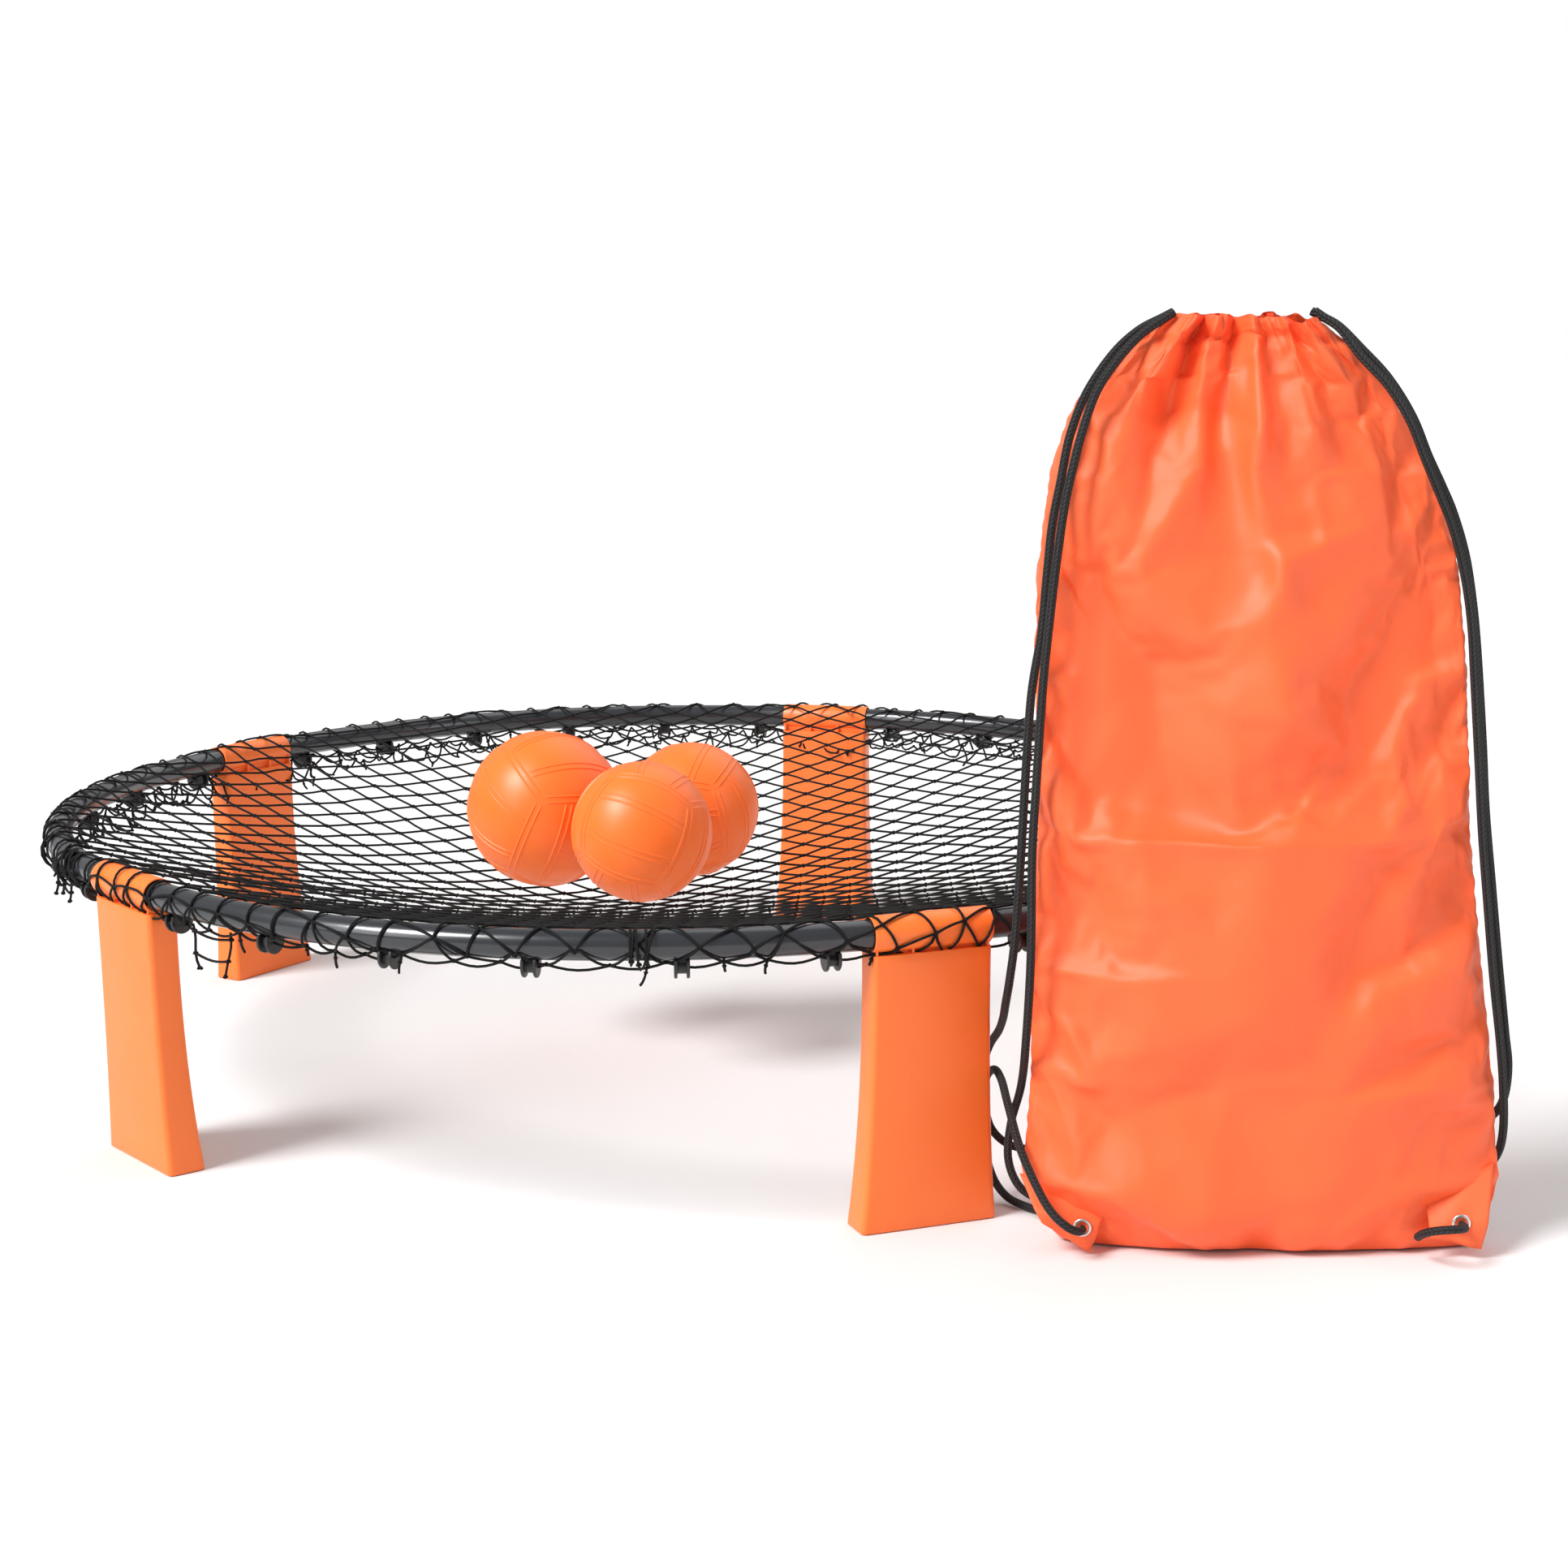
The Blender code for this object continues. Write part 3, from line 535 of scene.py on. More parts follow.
def braided_twine(name, colour, gap_shade_colour, columns, pitch, depth, roughness, **constants):
    material, tree, shader, places = start_finish(name, roughness, **constants)
    braid = place_group(tree, GROUPS["braid"], Place=places.outputs["UV"], Columns=columns, Pitch=pitch)
    # The second colour is painted shade: it darkens the grooves between the strands
    strands = mix_colours(tree, braid.outputs["Gap shade"], (*colour, 1), (*gap_shade_colour, 1))
    tree.links.new(strands, shader.inputs["Base Color"])
    add_bump(tree, shader, braid.outputs["Height"], depth)
    return material


def bag_nylon(name):
    material, tree, shader, places = start_finish(name, 0.45, Sheen_Weight=0.08, Sheen_Roughness=0.4)
    drift = place_group(tree, GROUPS["drift"], Colour=(*NYLON_COLOUR, 1), Deep_colour=(*NYLON_DEEP, 1),
                        Place=places.outputs["Object"], Scale=9.0, Amount=0.5)
    tree.links.new(drift.outputs["Colour"], shader.inputs["Base Color"])
    weave = place_group(tree, GROUPS["weave"], Place=places.outputs["UV"], Threads_per_metre=1500.0)
    add_bump(tree, shader, weave.outputs["Height"], 0.00010, 0.6)
    return material


ORANGE = (1.0, 0.215, 0.035)
ORANGE_DEEP = (0.95, 0.14, 0.015)
VINYL = (1.0, 0.190, 0.020)
VINYL_DEEP = (1.0, 0.145, 0.012)
NYLON_COLOUR = (1.0, 0.145, 0.036)
NYLON_DEEP = (1.0, 0.100, 0.020)

GROUPS = {"braid": make_braid_group(), "weave": make_weave_group(), "drift": make_drift_group(),
          "edge": make_edge_group()}


def make_finishes():
    return {
        "tube": moulded_plastic("tube_black", (0.020, 0.022, 0.027), (0.011, 0.012, 0.015), 0.27,
                                grain=0.00001, rub=0.15, rub_colour=(0.08, 0.08, 0.085, 1),
                                Coat_Weight=0.5, Coat_Roughness=0.12),
        "leg": moulded_plastic("leg_orange", ORANGE, ORANGE_DEEP, 0.40, rub_colour=(1, 0.36, 0.12, 1)),
        "hook": moulded_plastic("hook_black", (0.018, 0.018, 0.020), (0.010, 0.010, 0.011), 0.42,
                                rub_colour=(0.10, 0.10, 0.10, 1)),
        "ball": moulded_plastic("ball_vinyl", VINYL, VINYL_DEEP, 0.40, grain=0.00006, rub=0.2,
                                rub_colour=(1, 0.33, 0.15, 1)),
        "valve": moulded_plastic("valve_rubber", (0.70, 0.10, 0.02), (0.5, 0.06, 0.01), 0.6),
        # Each braid's second colour is painted shade in the grooves between its strands
        "twine": braided_twine("net_twine", (0.009, 0.009, 0.009), (0.002, 0.002, 0.002), 4.0, 1.1,
                               0.0003, 0.75, Specular_IOR_Level=0.25),
        "cord": braided_twine("cord_braid", (0.030, 0.030, 0.031), (0.0015, 0.0015, 0.0015), 6.0, 0.55,
                              0.0008, 0.65, Specular_IOR_Level=0.35),
        "nylon": bag_nylon("bag_nylon"),
        "nickel": moulded_plastic("eyelet_nickel", (0.80, 0.80, 0.78), (0.6, 0.6, 0.58), 0.25,
                                  grain=0.00001, rub=0.0, Metallic=1.0),
    }


# ---------------------------------------------------------------- cords

def make_cords(finish):
    for name, route in CORD_ROUTES.items():
        points = [RING_CENTRE + Vector([n / CORD_STEPS_PER_METRE for n in place]) for place in route]
        if name in IN_CHANNEL:
            points.insert(0, points[0] + (points[0] - points[1]).normalized() * CHANNEL_REACH)
        path = smooth_route(points, CORD_DIAMETER * 0.6)
        shape = Shape()
        shape.add_tube(path, CORD_DIAMETER / 2, 16, texture_unit=CORD_DIAMETER)
        piece = add_piece("braided_cord_" + name, shape.mesh("cord"), finish, "bag",
                          ["cord_" + name])


# ---------------------------------------------------------------- ring

def leg_directions(k):
    angle = FIRST_LEG_ANGLE + k * LEG_PITCH
    return spoke(angle), Vector((-math.sin(angle), math.cos(angle), 0))


def leg_axis_point(k):
    outward, _ = leg_directions(k)
    return RING_CENTRE + outward * RIM_RADIUS_AT_LEG + UP * RIM_HEIGHT


def bend_point(k, turn):
    """Point on the axis of tube k, its outward direction and its direction of travel."""
    outward, travel = leg_directions(k)
    middle = leg_axis_point(k) + travel * RIM_FLAT_HALF - outward * RIM_BEND_RADIUS
    out = outward * math.cos(turn) + travel * math.sin(turn)
    onward = travel * math.cos(turn) - outward * math.sin(turn)
    return middle + out * RIM_BEND_RADIUS, out, onward


def frame_matrix(place, outward, travel):
    """Puts X against the direction of travel, Y outwards and Z up at a place."""
    return Matrix.Translation(place) @ Matrix((-travel, outward, UP)).transposed().to_4x4()


def make_tubes(finish):
    steps, sides, end_clearance = 40, 40, 0.002
    for k in range(LEG_COUNT):
        outward, travel = leg_directions(k)
        stations = [(leg_axis_point(k) + travel * end_clearance, outward)]
        stations += [bend_point(k, LEG_PITCH * i / steps)[:2] for i in range(steps + 1)]
        outward, travel = leg_directions(k + 1)
        stations.append((leg_axis_point(k + 1) - travel * end_clearance, outward))
        shape = Shape()
        outer = [circle(TUBE_RADIUS, sides, p, out, UP) for p, out in stations]
        inner = [circle(TUBE_RADIUS - TUBE_WALL, sides, p, out, UP) for p, out in stations]
        shape.add_loft(outer + inner[::-1], closed_loop=True)
        add_piece(f"bent_tube_{k + 1}", shape.mesh("bent_tube"), finish, "ring",
                  [f"ring_tube_{k + 1}"])


def leg_ring(down, inset, corner_steps=6):
    """Rounded rectangle of the leg's box at a drop below the tube axis, shrunk by inset."""
    share = (down - LEDGE_DROP) / (RIM_HEIGHT - LEDGE_DROP)
    flare = max(share, 0.0) ** FLARE_POWER
    half_width = LEG_TOP_HALF_WIDTH + (LEG_FOOT_HALF_WIDTH - LEG_TOP_HALF_WIDTH) * flare - inset
    out = LEG_TOP_OUT + (LEG_FOOT_OUT - LEG_TOP_OUT) * share - inset
    back = -(LEG_TOP_IN + (LEG_FOOT_IN - LEG_TOP_IN) * flare) + inset
    radius = max(LEG_CORNER_RADIUS - inset, 0.0008)
    corners = [(half_width, out, 0), (-half_width, out, 90), (-half_width, back, 180),
               (half_width, back, 270)]
    points = []
    for x, y, start in corners:
        centre = Vector((x - math.copysign(radius, x), y - math.copysign(radius, y), -down))
        for step in range(corner_steps + 1):
            turn = math.radians(start + 90 * step / corner_steps)
            points.append(centre + Vector((radius * math.cos(turn), radius * math.sin(turn), 0)))
    return points


def add_block(shape, low, high, edge=0.0005):
    """Block with chamfered edges on all its upright and level sides."""
    def level(z, inset):
        x0, y0, x1, y1 = low[0] + inset, low[1] + inset, high[0] - inset, high[1] - inset
        return [(x0 + edge, y0, z), (x1 - edge, y0, z), (x1, y0 + edge, z), (x1, y1 - edge, z),
                (x1 - edge, y1, z), (x0 + edge, y1, z), (x0, y1 - edge, z), (x0, y0 + edge, z)]
    shape.add_loft([level(low[2], edge), level(low[2] + edge, 0),
                    level(high[2] - edge, 0), level(high[2], edge)])


def leg_mesh():
    """Leg about its tube axis: X along the sleeve, Y outwards, Z up."""
    shape = Shape()
    lip = 0.0007
    drops = [LEDGE_DROP + lip + (RIM_HEIGHT - lip - LEDGE_DROP - lip) * i / 22 for i in range(23)]
    outer = [leg_ring(LEDGE_DROP, lip)] + [leg_ring(LEDGE_DROP + lip * 0.3, lip * 0.3)]
    outer += [leg_ring(d, 0.0) for d in drops]
    outer += [leg_ring(RIM_HEIGHT - lip * 0.3, lip * 0.3), leg_ring(RIM_HEIGHT, lip)]
    inner = [leg_ring(RIM_HEIGHT, LEG_WALL - lip * 0.5)] + [leg_ring(d, LEG_WALL) for d in drops[::-1]]
    roof = [p + UP * (LEDGE_DROP - LEG_CAVITY_DROP) for p in leg_ring(LEDGE_DROP, LEG_WALL)]
    shape.add_loft(outer + [ring for ring in inner if ring[0].z < -LEG_CAVITY_DROP] + [roof])
    neck_half = SLEEVE_HALF_LENGTH - 0.0022
    add_block(shape, (-neck_half, -0.0080, -0.0140), (neck_half, 0.0040, -0.0062))
    for x in (-neck_half, -SLEEVE_HALF_LENGTH / 3, SLEEVE_HALF_LENGTH / 3, neck_half):
        add_block(shape, (x - RIB_THICKNESS / 2, -LEG_TOP_IN + 0.0012, -0.0136),
                  (x + RIB_THICKNESS / 2, LEG_TOP_OUT - 0.0012, -0.0048), 0.0003)
    across, sides = Vector((0, 1, 0)), 56
    profile = [(SLEEVE_BORE, 0.0004), (SLEEVE_BORE + 0.0003, 0.0), (SLEEVE_RADIUS - 0.0004, 0.0),
               (SLEEVE_RADIUS - 0.0001, 0.0002), (SLEEVE_RADIUS, 0.0006)]
    profile += [(r, 2 * SLEEVE_HALF_LENGTH - x) for r, x in profile[::-1]]
    rings = [circle(r, sides, Vector((x - SLEEVE_HALF_LENGTH, 0, 0)), across, UP) for r, x in profile]
    shape.add_loft(rings, closed_loop=True)
    return shape.mesh("folding_leg", 30)


def make_legs(finish):
    mesh = leg_mesh()
    for k in range(LEG_COUNT):
        matrix = frame_matrix(leg_axis_point(k), *leg_directions(k))
        add_piece(f"folding_leg_{k + 1}", mesh, finish, f"leg_{k + 1}",
                  [f"leg_{k + 1}"], matrix)


def hook_outline(x, saddle_angle, radius, drop, inset=0.0):
    """Outline across the tube: a saddle under the tube and a round lobe below it."""
    saddle = SADDLE_RADIUS + inset
    side_y, side_z = saddle * math.sin(saddle_angle), -saddle * math.cos(saddle_angle)
    rise = math.atan2(side_z + drop, side_y)
    sweep, lobe_points, saddle_points = math.pi + 2 * rise, 20, 8
    points = []
    for i in range(lobe_points + 1):
        turn = rise - sweep * i / lobe_points
        points.append(Vector((x, (radius - inset) * math.cos(turn),
                              -drop + (radius - inset) * math.sin(turn))))
    for i in range(saddle_points + 1):
        turn = -saddle_angle + 2 * saddle_angle * i / saddle_points
        points.append(Vector((x, saddle * math.sin(turn), -saddle * math.cos(turn))))
    return points


def make_hooks(finish):
    flange = (FLANGE_SADDLE_ANGLE, FLANGE_RADIUS, FLANGE_DROP)
    hub = (HUB_SADDLE_ANGLE, HUB_RADIUS, HUB_DROP)
    half, inner_face, edge = HOOK_HALF_WIDTH, HOOK_HALF_WIDTH - FLANGE_THICKNESS, 0.0004
    stack = [(-half, flange, edge), (-half + edge, flange, 0), (-inner_face - edge, flange, 0),
             (-inner_face, flange, edge), (-inner_face, hub, 0),
             (inner_face, hub, 0), (inner_face, flange, edge),
             (inner_face + edge, flange, 0), (half - edge, flange, 0), (half, flange, edge)]
    shape = Shape()
    shape.add_loft([hook_outline(x, *outline, inset) for x, outline, inset in stack])
    mesh = shape.mesh("hook", 40)
    for k in range(LEG_COUNT):
        for i in range(HOOKS_PER_TUBE):
            turn = LEG_PITCH / 2 + HOOK_PITCH * (i - (HOOKS_PER_TUBE - 1) / 2)
            number = k * HOOKS_PER_TUBE + i + 1
            matrix = frame_matrix(*bend_point(k, turn))
            add_piece(f"spool_hook_{number:02d}", mesh, finish, "ring",
                      [f"net_hook_{number:02d}"], matrix)


# ---------------------------------------------------------------- net

class RingLine:
    """The ring's axis seen from above, looked up by angle."""

    def __init__(self):
        rows = []
        for k in range(LEG_COUNT):
            for i in range(73):
                point, out, _ = bend_point(k, LEG_PITCH * i / 72)
                flat = point - RING_CENTRE
                rows.append((math.atan2(flat.y, flat.x), math.hypot(flat.x, flat.y),
                             math.atan2(out.y, out.x)))
        rows.sort()
        table = np.array(rows)
        self.angles = np.concatenate((table[:, 0] - 2 * math.pi, table[:, 0], table[:, 0] + 2 * math.pi))
        self.radii = np.tile(table[:, 1], 3)
        faces = table[:, 2] - table[:, 0]
        self.leans = np.tile(centred(faces), 3)

    def at(self, angle):
        """Radius of the axis and the direction outwards at an angle."""
        radius = float(np.interp(angle, self.angles, self.radii))
        facing = angle + float(np.interp(angle, self.angles, self.leans))
        return radius, spoke(facing)


def wrap_radius(angle, radius_here):
    """How far the twine's centre lies from the tube axis: further out over the legs' sleeves."""
    over = abs(centred(angle - FIRST_LEG_ANGLE, LEG_PITCH)) * radius_here
    share = within((SLEEVE_HALF_LENGTH + SLEEVE_RISE / 2 - over) / SLEEVE_RISE)
    return TUBE_RADIUS + TWINE_RADIUS + (SLEEVE_RADIUS - TUBE_RADIUS) * share


def net_point(line, x, y, loose=0.0):
    """Where a point of the flat net comes to lie: in the dish, or round the outside of the tube."""
    angle = math.atan2(y, x)
    reach = math.hypot(x, y)
    axis_radius, out = line.at(angle)
    around = wrap_radius(angle, axis_radius) + loose
    beyond = reach - axis_radius
    if beyond <= 0:
        dx, dy = x - DIP_CENTRE.x, y - DIP_CENTRE.y
        away = math.hypot(dx, dy) + 1e-9
        ux, uy = dx / away, dy / away
        along = DIP_CENTRE.x * ux + DIP_CENTRE.y * uy
        reached = along * along - DIP_CENTRE.length_squared + axis_radius ** 2
        to_edge = -along + math.sqrt(max(reached, 0))
        share = min(away / to_edge, 1.0)
        height = DIP_HEIGHT + (RIM_HEIGHT + around - DIP_HEIGHT) * share ** DIP_POWER
        return RING_CENTRE + Vector((x, y, height))
    turn = beyond / around
    axis = RING_CENTRE + spoke(angle) * axis_radius + UP * RIM_HEIGHT
    return axis + out * (around * math.sin(turn)) + UP * (around * math.cos(turn))


def add_knot(shape, centre, along, size, rng):
    """Small lumpy knot: two bent loops of twine through each other."""
    along = along.normalized()
    side = along.cross(Vector((rng.uniform(-1, 1), rng.uniform(-1, 1), rng.uniform(0.2, 1)))).normalized()
    third = along.cross(side)
    for a, b in ((side, third), (third, side)):
        loop = []
        for i in range(5):
            t = math.pi * i / 4
            loop.append(centre + a * (size * 0.75 * math.cos(t)) + along * (size * (math.sin(t) - 0.5))
                        + b * (size * 0.30 * math.sin(2 * t)))
        shape.add_tube(loop, size * 0.62, 4)


def add_strand(strands, path):
    strands.add_tube(path, TWINE_RADIUS, STRAND_SIDES, caps=False)


def make_net(finish):
    """Diamond meshes over the dish and the tubes, an edge line under the tubes and loose tails."""
    rng = random.Random(11)
    line = RingLine()
    cos_turn, sin_turn = math.cos(MESH_TURN), math.sin(MESH_TURN)
    count = int(NET_REACH / MESH_BAR) + 1
    knots = {}
    for i in range(-count, count + 1):
        for j in range(-count, count + 1):
            x = MESH_BAR * (i * cos_turn - j * sin_turn)
            y = MESH_BAR * (i * sin_turn + j * cos_turn) * MESH_SQUASH
            angle = math.atan2(y, x)
            axis_radius, _ = line.at(angle)
            around = wrap_radius(angle, axis_radius)
            beyond = math.hypot(x, y) - axis_radius
            if beyond > around * NET_LAST_TURN:
                continue
            wander = KNOT_WANDER if beyond < -RIM_BAND else RIM_KNOT_WANDER
            x += rng.uniform(-wander, wander)
            y += rng.uniform(-wander, wander)
            knots[(i, j)] = (x, y, beyond / around)
    strands = Shape()
    rim = []
    for (i, j), (x, y, turn) in knots.items():
        here = net_point(line, x, y)
        open_sides = 0
        for step in ((1, 0), (0, 1), (-1, 0), (0, -1)):
            other = knots.get((i + step[0], j + step[1]))
            if other is None:
                open_sides += 1
                continue
            if step[0] + step[1] < 0:
                continue
            pieces = 2 if turn < -1 and other[2] < -1 else 6
            points = []
            for n in range(pieces + 1):
                t = n / pieces
                swing = math.sin(math.pi * t) * (0.0 if pieces == 2 else 0.0006)
                points.append(net_point(line, x + (other[0] - x) * t, y + (other[1] - y) * t, swing))
            add_strand(strands, points)
        along = net_point(line, x * 1.01 + 0.001, y * 1.01) - here
        add_knot(strands, here, along, TWINE_RADIUS * 1.55, rng)
        if open_sides and turn > -0.5:
            rim.append((math.atan2(y, x), x, y, turn))
    add_edge_line(strands, line, sorted(rim), rng)
    add_piece("knotted_net", strands.mesh("knotted_net", 0), finish, "ring", ["net"])


def under_tube(line, angle, turn, gap=0.0):
    """Point beside the tube at a turn from its top, measured outwards and down."""
    axis_radius, out = line.at(angle)
    around = wrap_radius(angle, axis_radius) + gap
    axis = RING_CENTRE + spoke(angle) * axis_radius + UP * RIM_HEIGHT
    return axis + out * (around * math.sin(turn)) + UP * (around * math.cos(turn))


def add_edge_line(strands, line, rim, rng):
    """Twine from the last knots to a slack line under the tube: each pair of knots meets in one below."""
    lows = []
    for (a, xa, ya, turn_a), (b, xb, yb, turn_b) in zip(rim, rim[1:] + rim[:1]):
        sweep = (b - a) % (2 * math.pi)
        angle = a + sweep * rng.uniform(0.35, 0.65)
        ragged = LOOSEST_GAP if outer_slack(angle) else 0.0025
        lows.append((angle, math.radians(rng.uniform(150, 184)), rng.uniform(0.0, ragged)))
        low_angle, low_turn, gap = lows[-1]
        end = under_tube(line, low_angle, low_turn, gap)
        for start_angle, x, y, turn in ((a, xa, ya, turn_a), (b, xb, yb, turn_b)):
            shift = centred(low_angle - start_angle)
            path = [net_point(line, x, y)]
            path += [under_tube(line, start_angle + shift * n / 6, turn + (low_turn - turn) * n / 6,
                                gap * n / 6) for n in range(1, 7)]
            add_strand(strands, path)
        add_knot(strands, end, UP, TWINE_RADIUS * 1.7, rng)
        if rng.random() < 0.30:
            add_tail(strands, end, rng.uniform(0.007, 0.016), rng)
    lows.sort()
    for (a, turn_a, gap_a), (b, turn_b, gap_b) in zip(lows, lows[1:] + lows[:1]):
        sweep = (b - a) % (2 * math.pi)
        path = []
        for n in range(7):
            t = n / 6
            point = under_tube(line, a + sweep * t, turn_a + (turn_b - turn_a) * t,
                               gap_a + (gap_b - gap_a) * t)
            path.append(point - UP * (math.sin(math.pi * t) * 0.0030))
        add_strand(strands, path)
    add_doubled_twine(strands, line, rng)
    add_torn_meshes(strands, line, rng)
    add_loose_meshes(strands, line, rng)


def outer_slack(angle):
    return OUTSIDE_SLACK[0] < centred(math.degrees(angle), 360) < OUTSIDE_SLACK[1]


def add_doubled_twine(strands, line, rng):
    """Bunches where several strands cross the tube side by side."""
    for low, high in DOUBLED_AT:
        foot = rng.uniform(low, high)
        for _ in range(5):
            head, foot_here = rng.uniform(low, high), foot + rng.uniform(-1.6, 1.6)
            gap = rng.uniform(0.0006, 0.0032)
            path = []
            for n in range(9):
                t = n / 8
                angle = math.radians(head + (foot_here - head) * t)
                path.append(under_tube(line, angle, math.radians(12 + 160 * t), gap * (0.4 + t)))
            add_strand(strands, path)
            add_knot(strands, path[rng.choice((4, 5, 6))], UP, TWINE_RADIUS * 1.7, rng)
        end = under_tube(line, math.radians(foot), math.radians(176))
        add_tail(strands, end, rng.uniform(0.014, 0.022), rng)


def add_torn_meshes(strands, line, rng):
    """Meshes that have slipped off: two ends that hang down with a crossing strand between."""
    for low, high, drop in TORN_AT:
        ends = []
        for degrees in (low, high):
            top = under_tube(line, math.radians(degrees), math.radians(168), 0.001)
            sway = Vector((rng.uniform(-0.2, 0.2), rng.uniform(-0.2, 0.2), 0))
            path = [top + (sway * (n / 6) - UP) * (drop * n / 6)
                    + UP.cross(sway) * (0.15 * drop * math.sin(n)) for n in range(7)]
            strands.add_tube(path, TWINE_RADIUS, 6)
            for n in (1, 4, 6):
                add_knot(strands, path[n], UP, TWINE_RADIUS * 1.8, rng)
            ends.append(path)
        for row in (1, 4):
            a, b = ends[0][row], ends[1][row]
            path = [a.lerp(b, n / 6) - UP * (0.0022 * math.sin(math.pi * n / 6)) for n in range(7)]
            add_strand(strands, path)


def add_tail(strands, start, length, rng):
    """Cut end of twine that hangs and curls."""
    lean = Vector((rng.uniform(-0.5, 0.5), rng.uniform(-0.5, 0.5), -1)).normalized()
    curl = Vector((rng.uniform(-1, 1), rng.uniform(-1, 1), rng.uniform(0, 0.6)))
    path = [start + lean * (length * n / 5) + curl * (0.25 * length * (n / 5) ** 3) for n in range(6)]
    strands.add_tube(path, TWINE_RADIUS, 6)
    add_knot(strands, path[2], lean, TWINE_RADIUS * 1.3, rng)


def slackness(angle):
    """How much loose mesh hangs at an angle round the ring: little at the front, more elsewhere."""
    away = abs(centred(angle - TAUT_MIDDLE))
    return within((away - TAUT_HALF_SPAN) / TAUT_FADE)


def add_loose_meshes(strands, line, rng):
    """Rows of slack meshes that hang inside the ring between the hooks."""
    rows = []
    for row in range(3):
        points = []
        for n in range(LOOSE_COLUMNS):
            angle = 2 * math.pi * (n + 0.5 * (row % 2) + rng.uniform(-0.35, 0.35)) / LOOSE_COLUMNS
            slack = slackness(angle) * (0.55 + 0.45 * math.sin(angle * 11 + 1.3 * row) ** 2)
            top = under_tube(line, angle, math.radians(196))
            drop = row * LOOSE_ROW_DROP * slack + rng.uniform(0, 0.004) * slack
            inward = row * LOOSE_ROW_SHIFT * slack + rng.uniform(-0.003, 0.004)
            points.append((top - UP * drop - spoke(angle) * inward, slack))
        rows.append(points)
    for row in (1, 2):
        for n, (point, slack) in enumerate(rows[row]):
            if slack < LEAST_SLACK:
                continue
            for m in (n, (n + (1 if row % 2 else -1)) % LOOSE_COLUMNS):
                above = rows[row - 1][m][0]
                if (above - point).length > LONGEST_LOOSE_STRAND:
                    continue
                sag = Vector((rng.uniform(-1, 1), rng.uniform(-1, 1), -1.2)) * 0.0030
                path = [above.lerp(point, t / 4) + sag * math.sin(math.pi * t / 4) for t in range(5)]
                add_strand(strands, path)
            add_knot(strands, point, UP, TWINE_RADIUS * 1.4, rng)
            if row == 2 and rng.random() < 0.25:
                add_tail(strands, point, rng.uniform(0.004, 0.010), rng)


# ---------------------------------------------------------------- balls

def ball_turns(right, up, forward):
    """How each ball's pattern lies: images of its own X, Y and Z."""
    def seen_at(a, b):
        return (right * a + up * b - forward * math.sqrt(1 - a * a - b * b)).normalized()

    def corner_first(a, b, arm_angle):
        d = seen_at(a, b)
        arm = right * math.cos(arm_angle) + up * math.sin(arm_angle)
        arm = (arm - d * arm.dot(d)).normalized()
        axes = []
        for k in range(3):
            tangent = Quaternion(d, 2 * math.pi * k / 3) @ arm
            axes.append(d / math.sqrt(3) - tangent * math.sqrt(2 / 3))
        return Matrix(axes).transposed()

    def face_first(a, b, strip_angle):
        d = seen_at(a, b)
        strip = right * math.cos(strip_angle) + up * math.sin(strip_angle)
        strip = (strip - d * strip.dot(d)).normalized()
        return Matrix((strip, d.cross(strip), d)).transposed()

    return {"large": corner_first(0.03, 0.11, math.radians(4)),
            "front": face_first(-0.08, 0.08, math.radians(-22)),
            "back": corner_first(0.36, 0.32, math.radians(50))}


# Seams of an eighteen-panel ball on a cube blown up to a sphere: how far the strips' seams lie from the
# middle of a face, and the angle from a line's middle to its end
STRIP_SHARE, SEAM_HALF_ANGLE = 0.34, math.radians(44.0)
RIB_RADIUS, RIB_SPREAD, RIB_STEPS = 0.00100, 0.0022, 44


def ball_lines():
    """Seams as (the axis each runs along, the place of its middle)."""
    lines = []
    for along in range(3):
        for s in (-1, 1):
            for across, normal in ((s, -1), (s, 1), (-STRIP_SHARE, s), (STRIP_SHARE, s)):
                place = [0.0, 0.0, 0.0]
                place[(along + 1) % 3], place[(along + 2) % 3] = across, normal
                lines.append((along, place))
    return lines


def add_ball_ribs(shape, radius, turn):
    """Pairs of half-round ribs along the seams."""
    for along, place in ball_lines():
        centre_line = []
        for i in range(RIB_STEPS + 1):
            point = list(place)
            point[along] = math.tan(SEAM_HALF_ANGLE * (2 * i / RIB_STEPS - 1))
            centre_line.append(Vector(point).normalized())
        for side in (-1, 1):
            path = []
            for i, p in enumerate(centre_line):
                q = centre_line[min(i + 1, RIB_STEPS)] - centre_line[max(i - 1, 0)]
                offset = p.cross(q).normalized() * (side * RIB_SPREAD / radius)
                path.append(turn @ ((p + offset).normalized() * (radius - RIB_RADIUS * 0.45)))
            taper = [RIB_RADIUS * min(1.0, 0.35 + 0.22 * min(i, RIB_STEPS - i)) for i in range(RIB_STEPS + 1)]
            shape.add_tube(path, taper, 8)


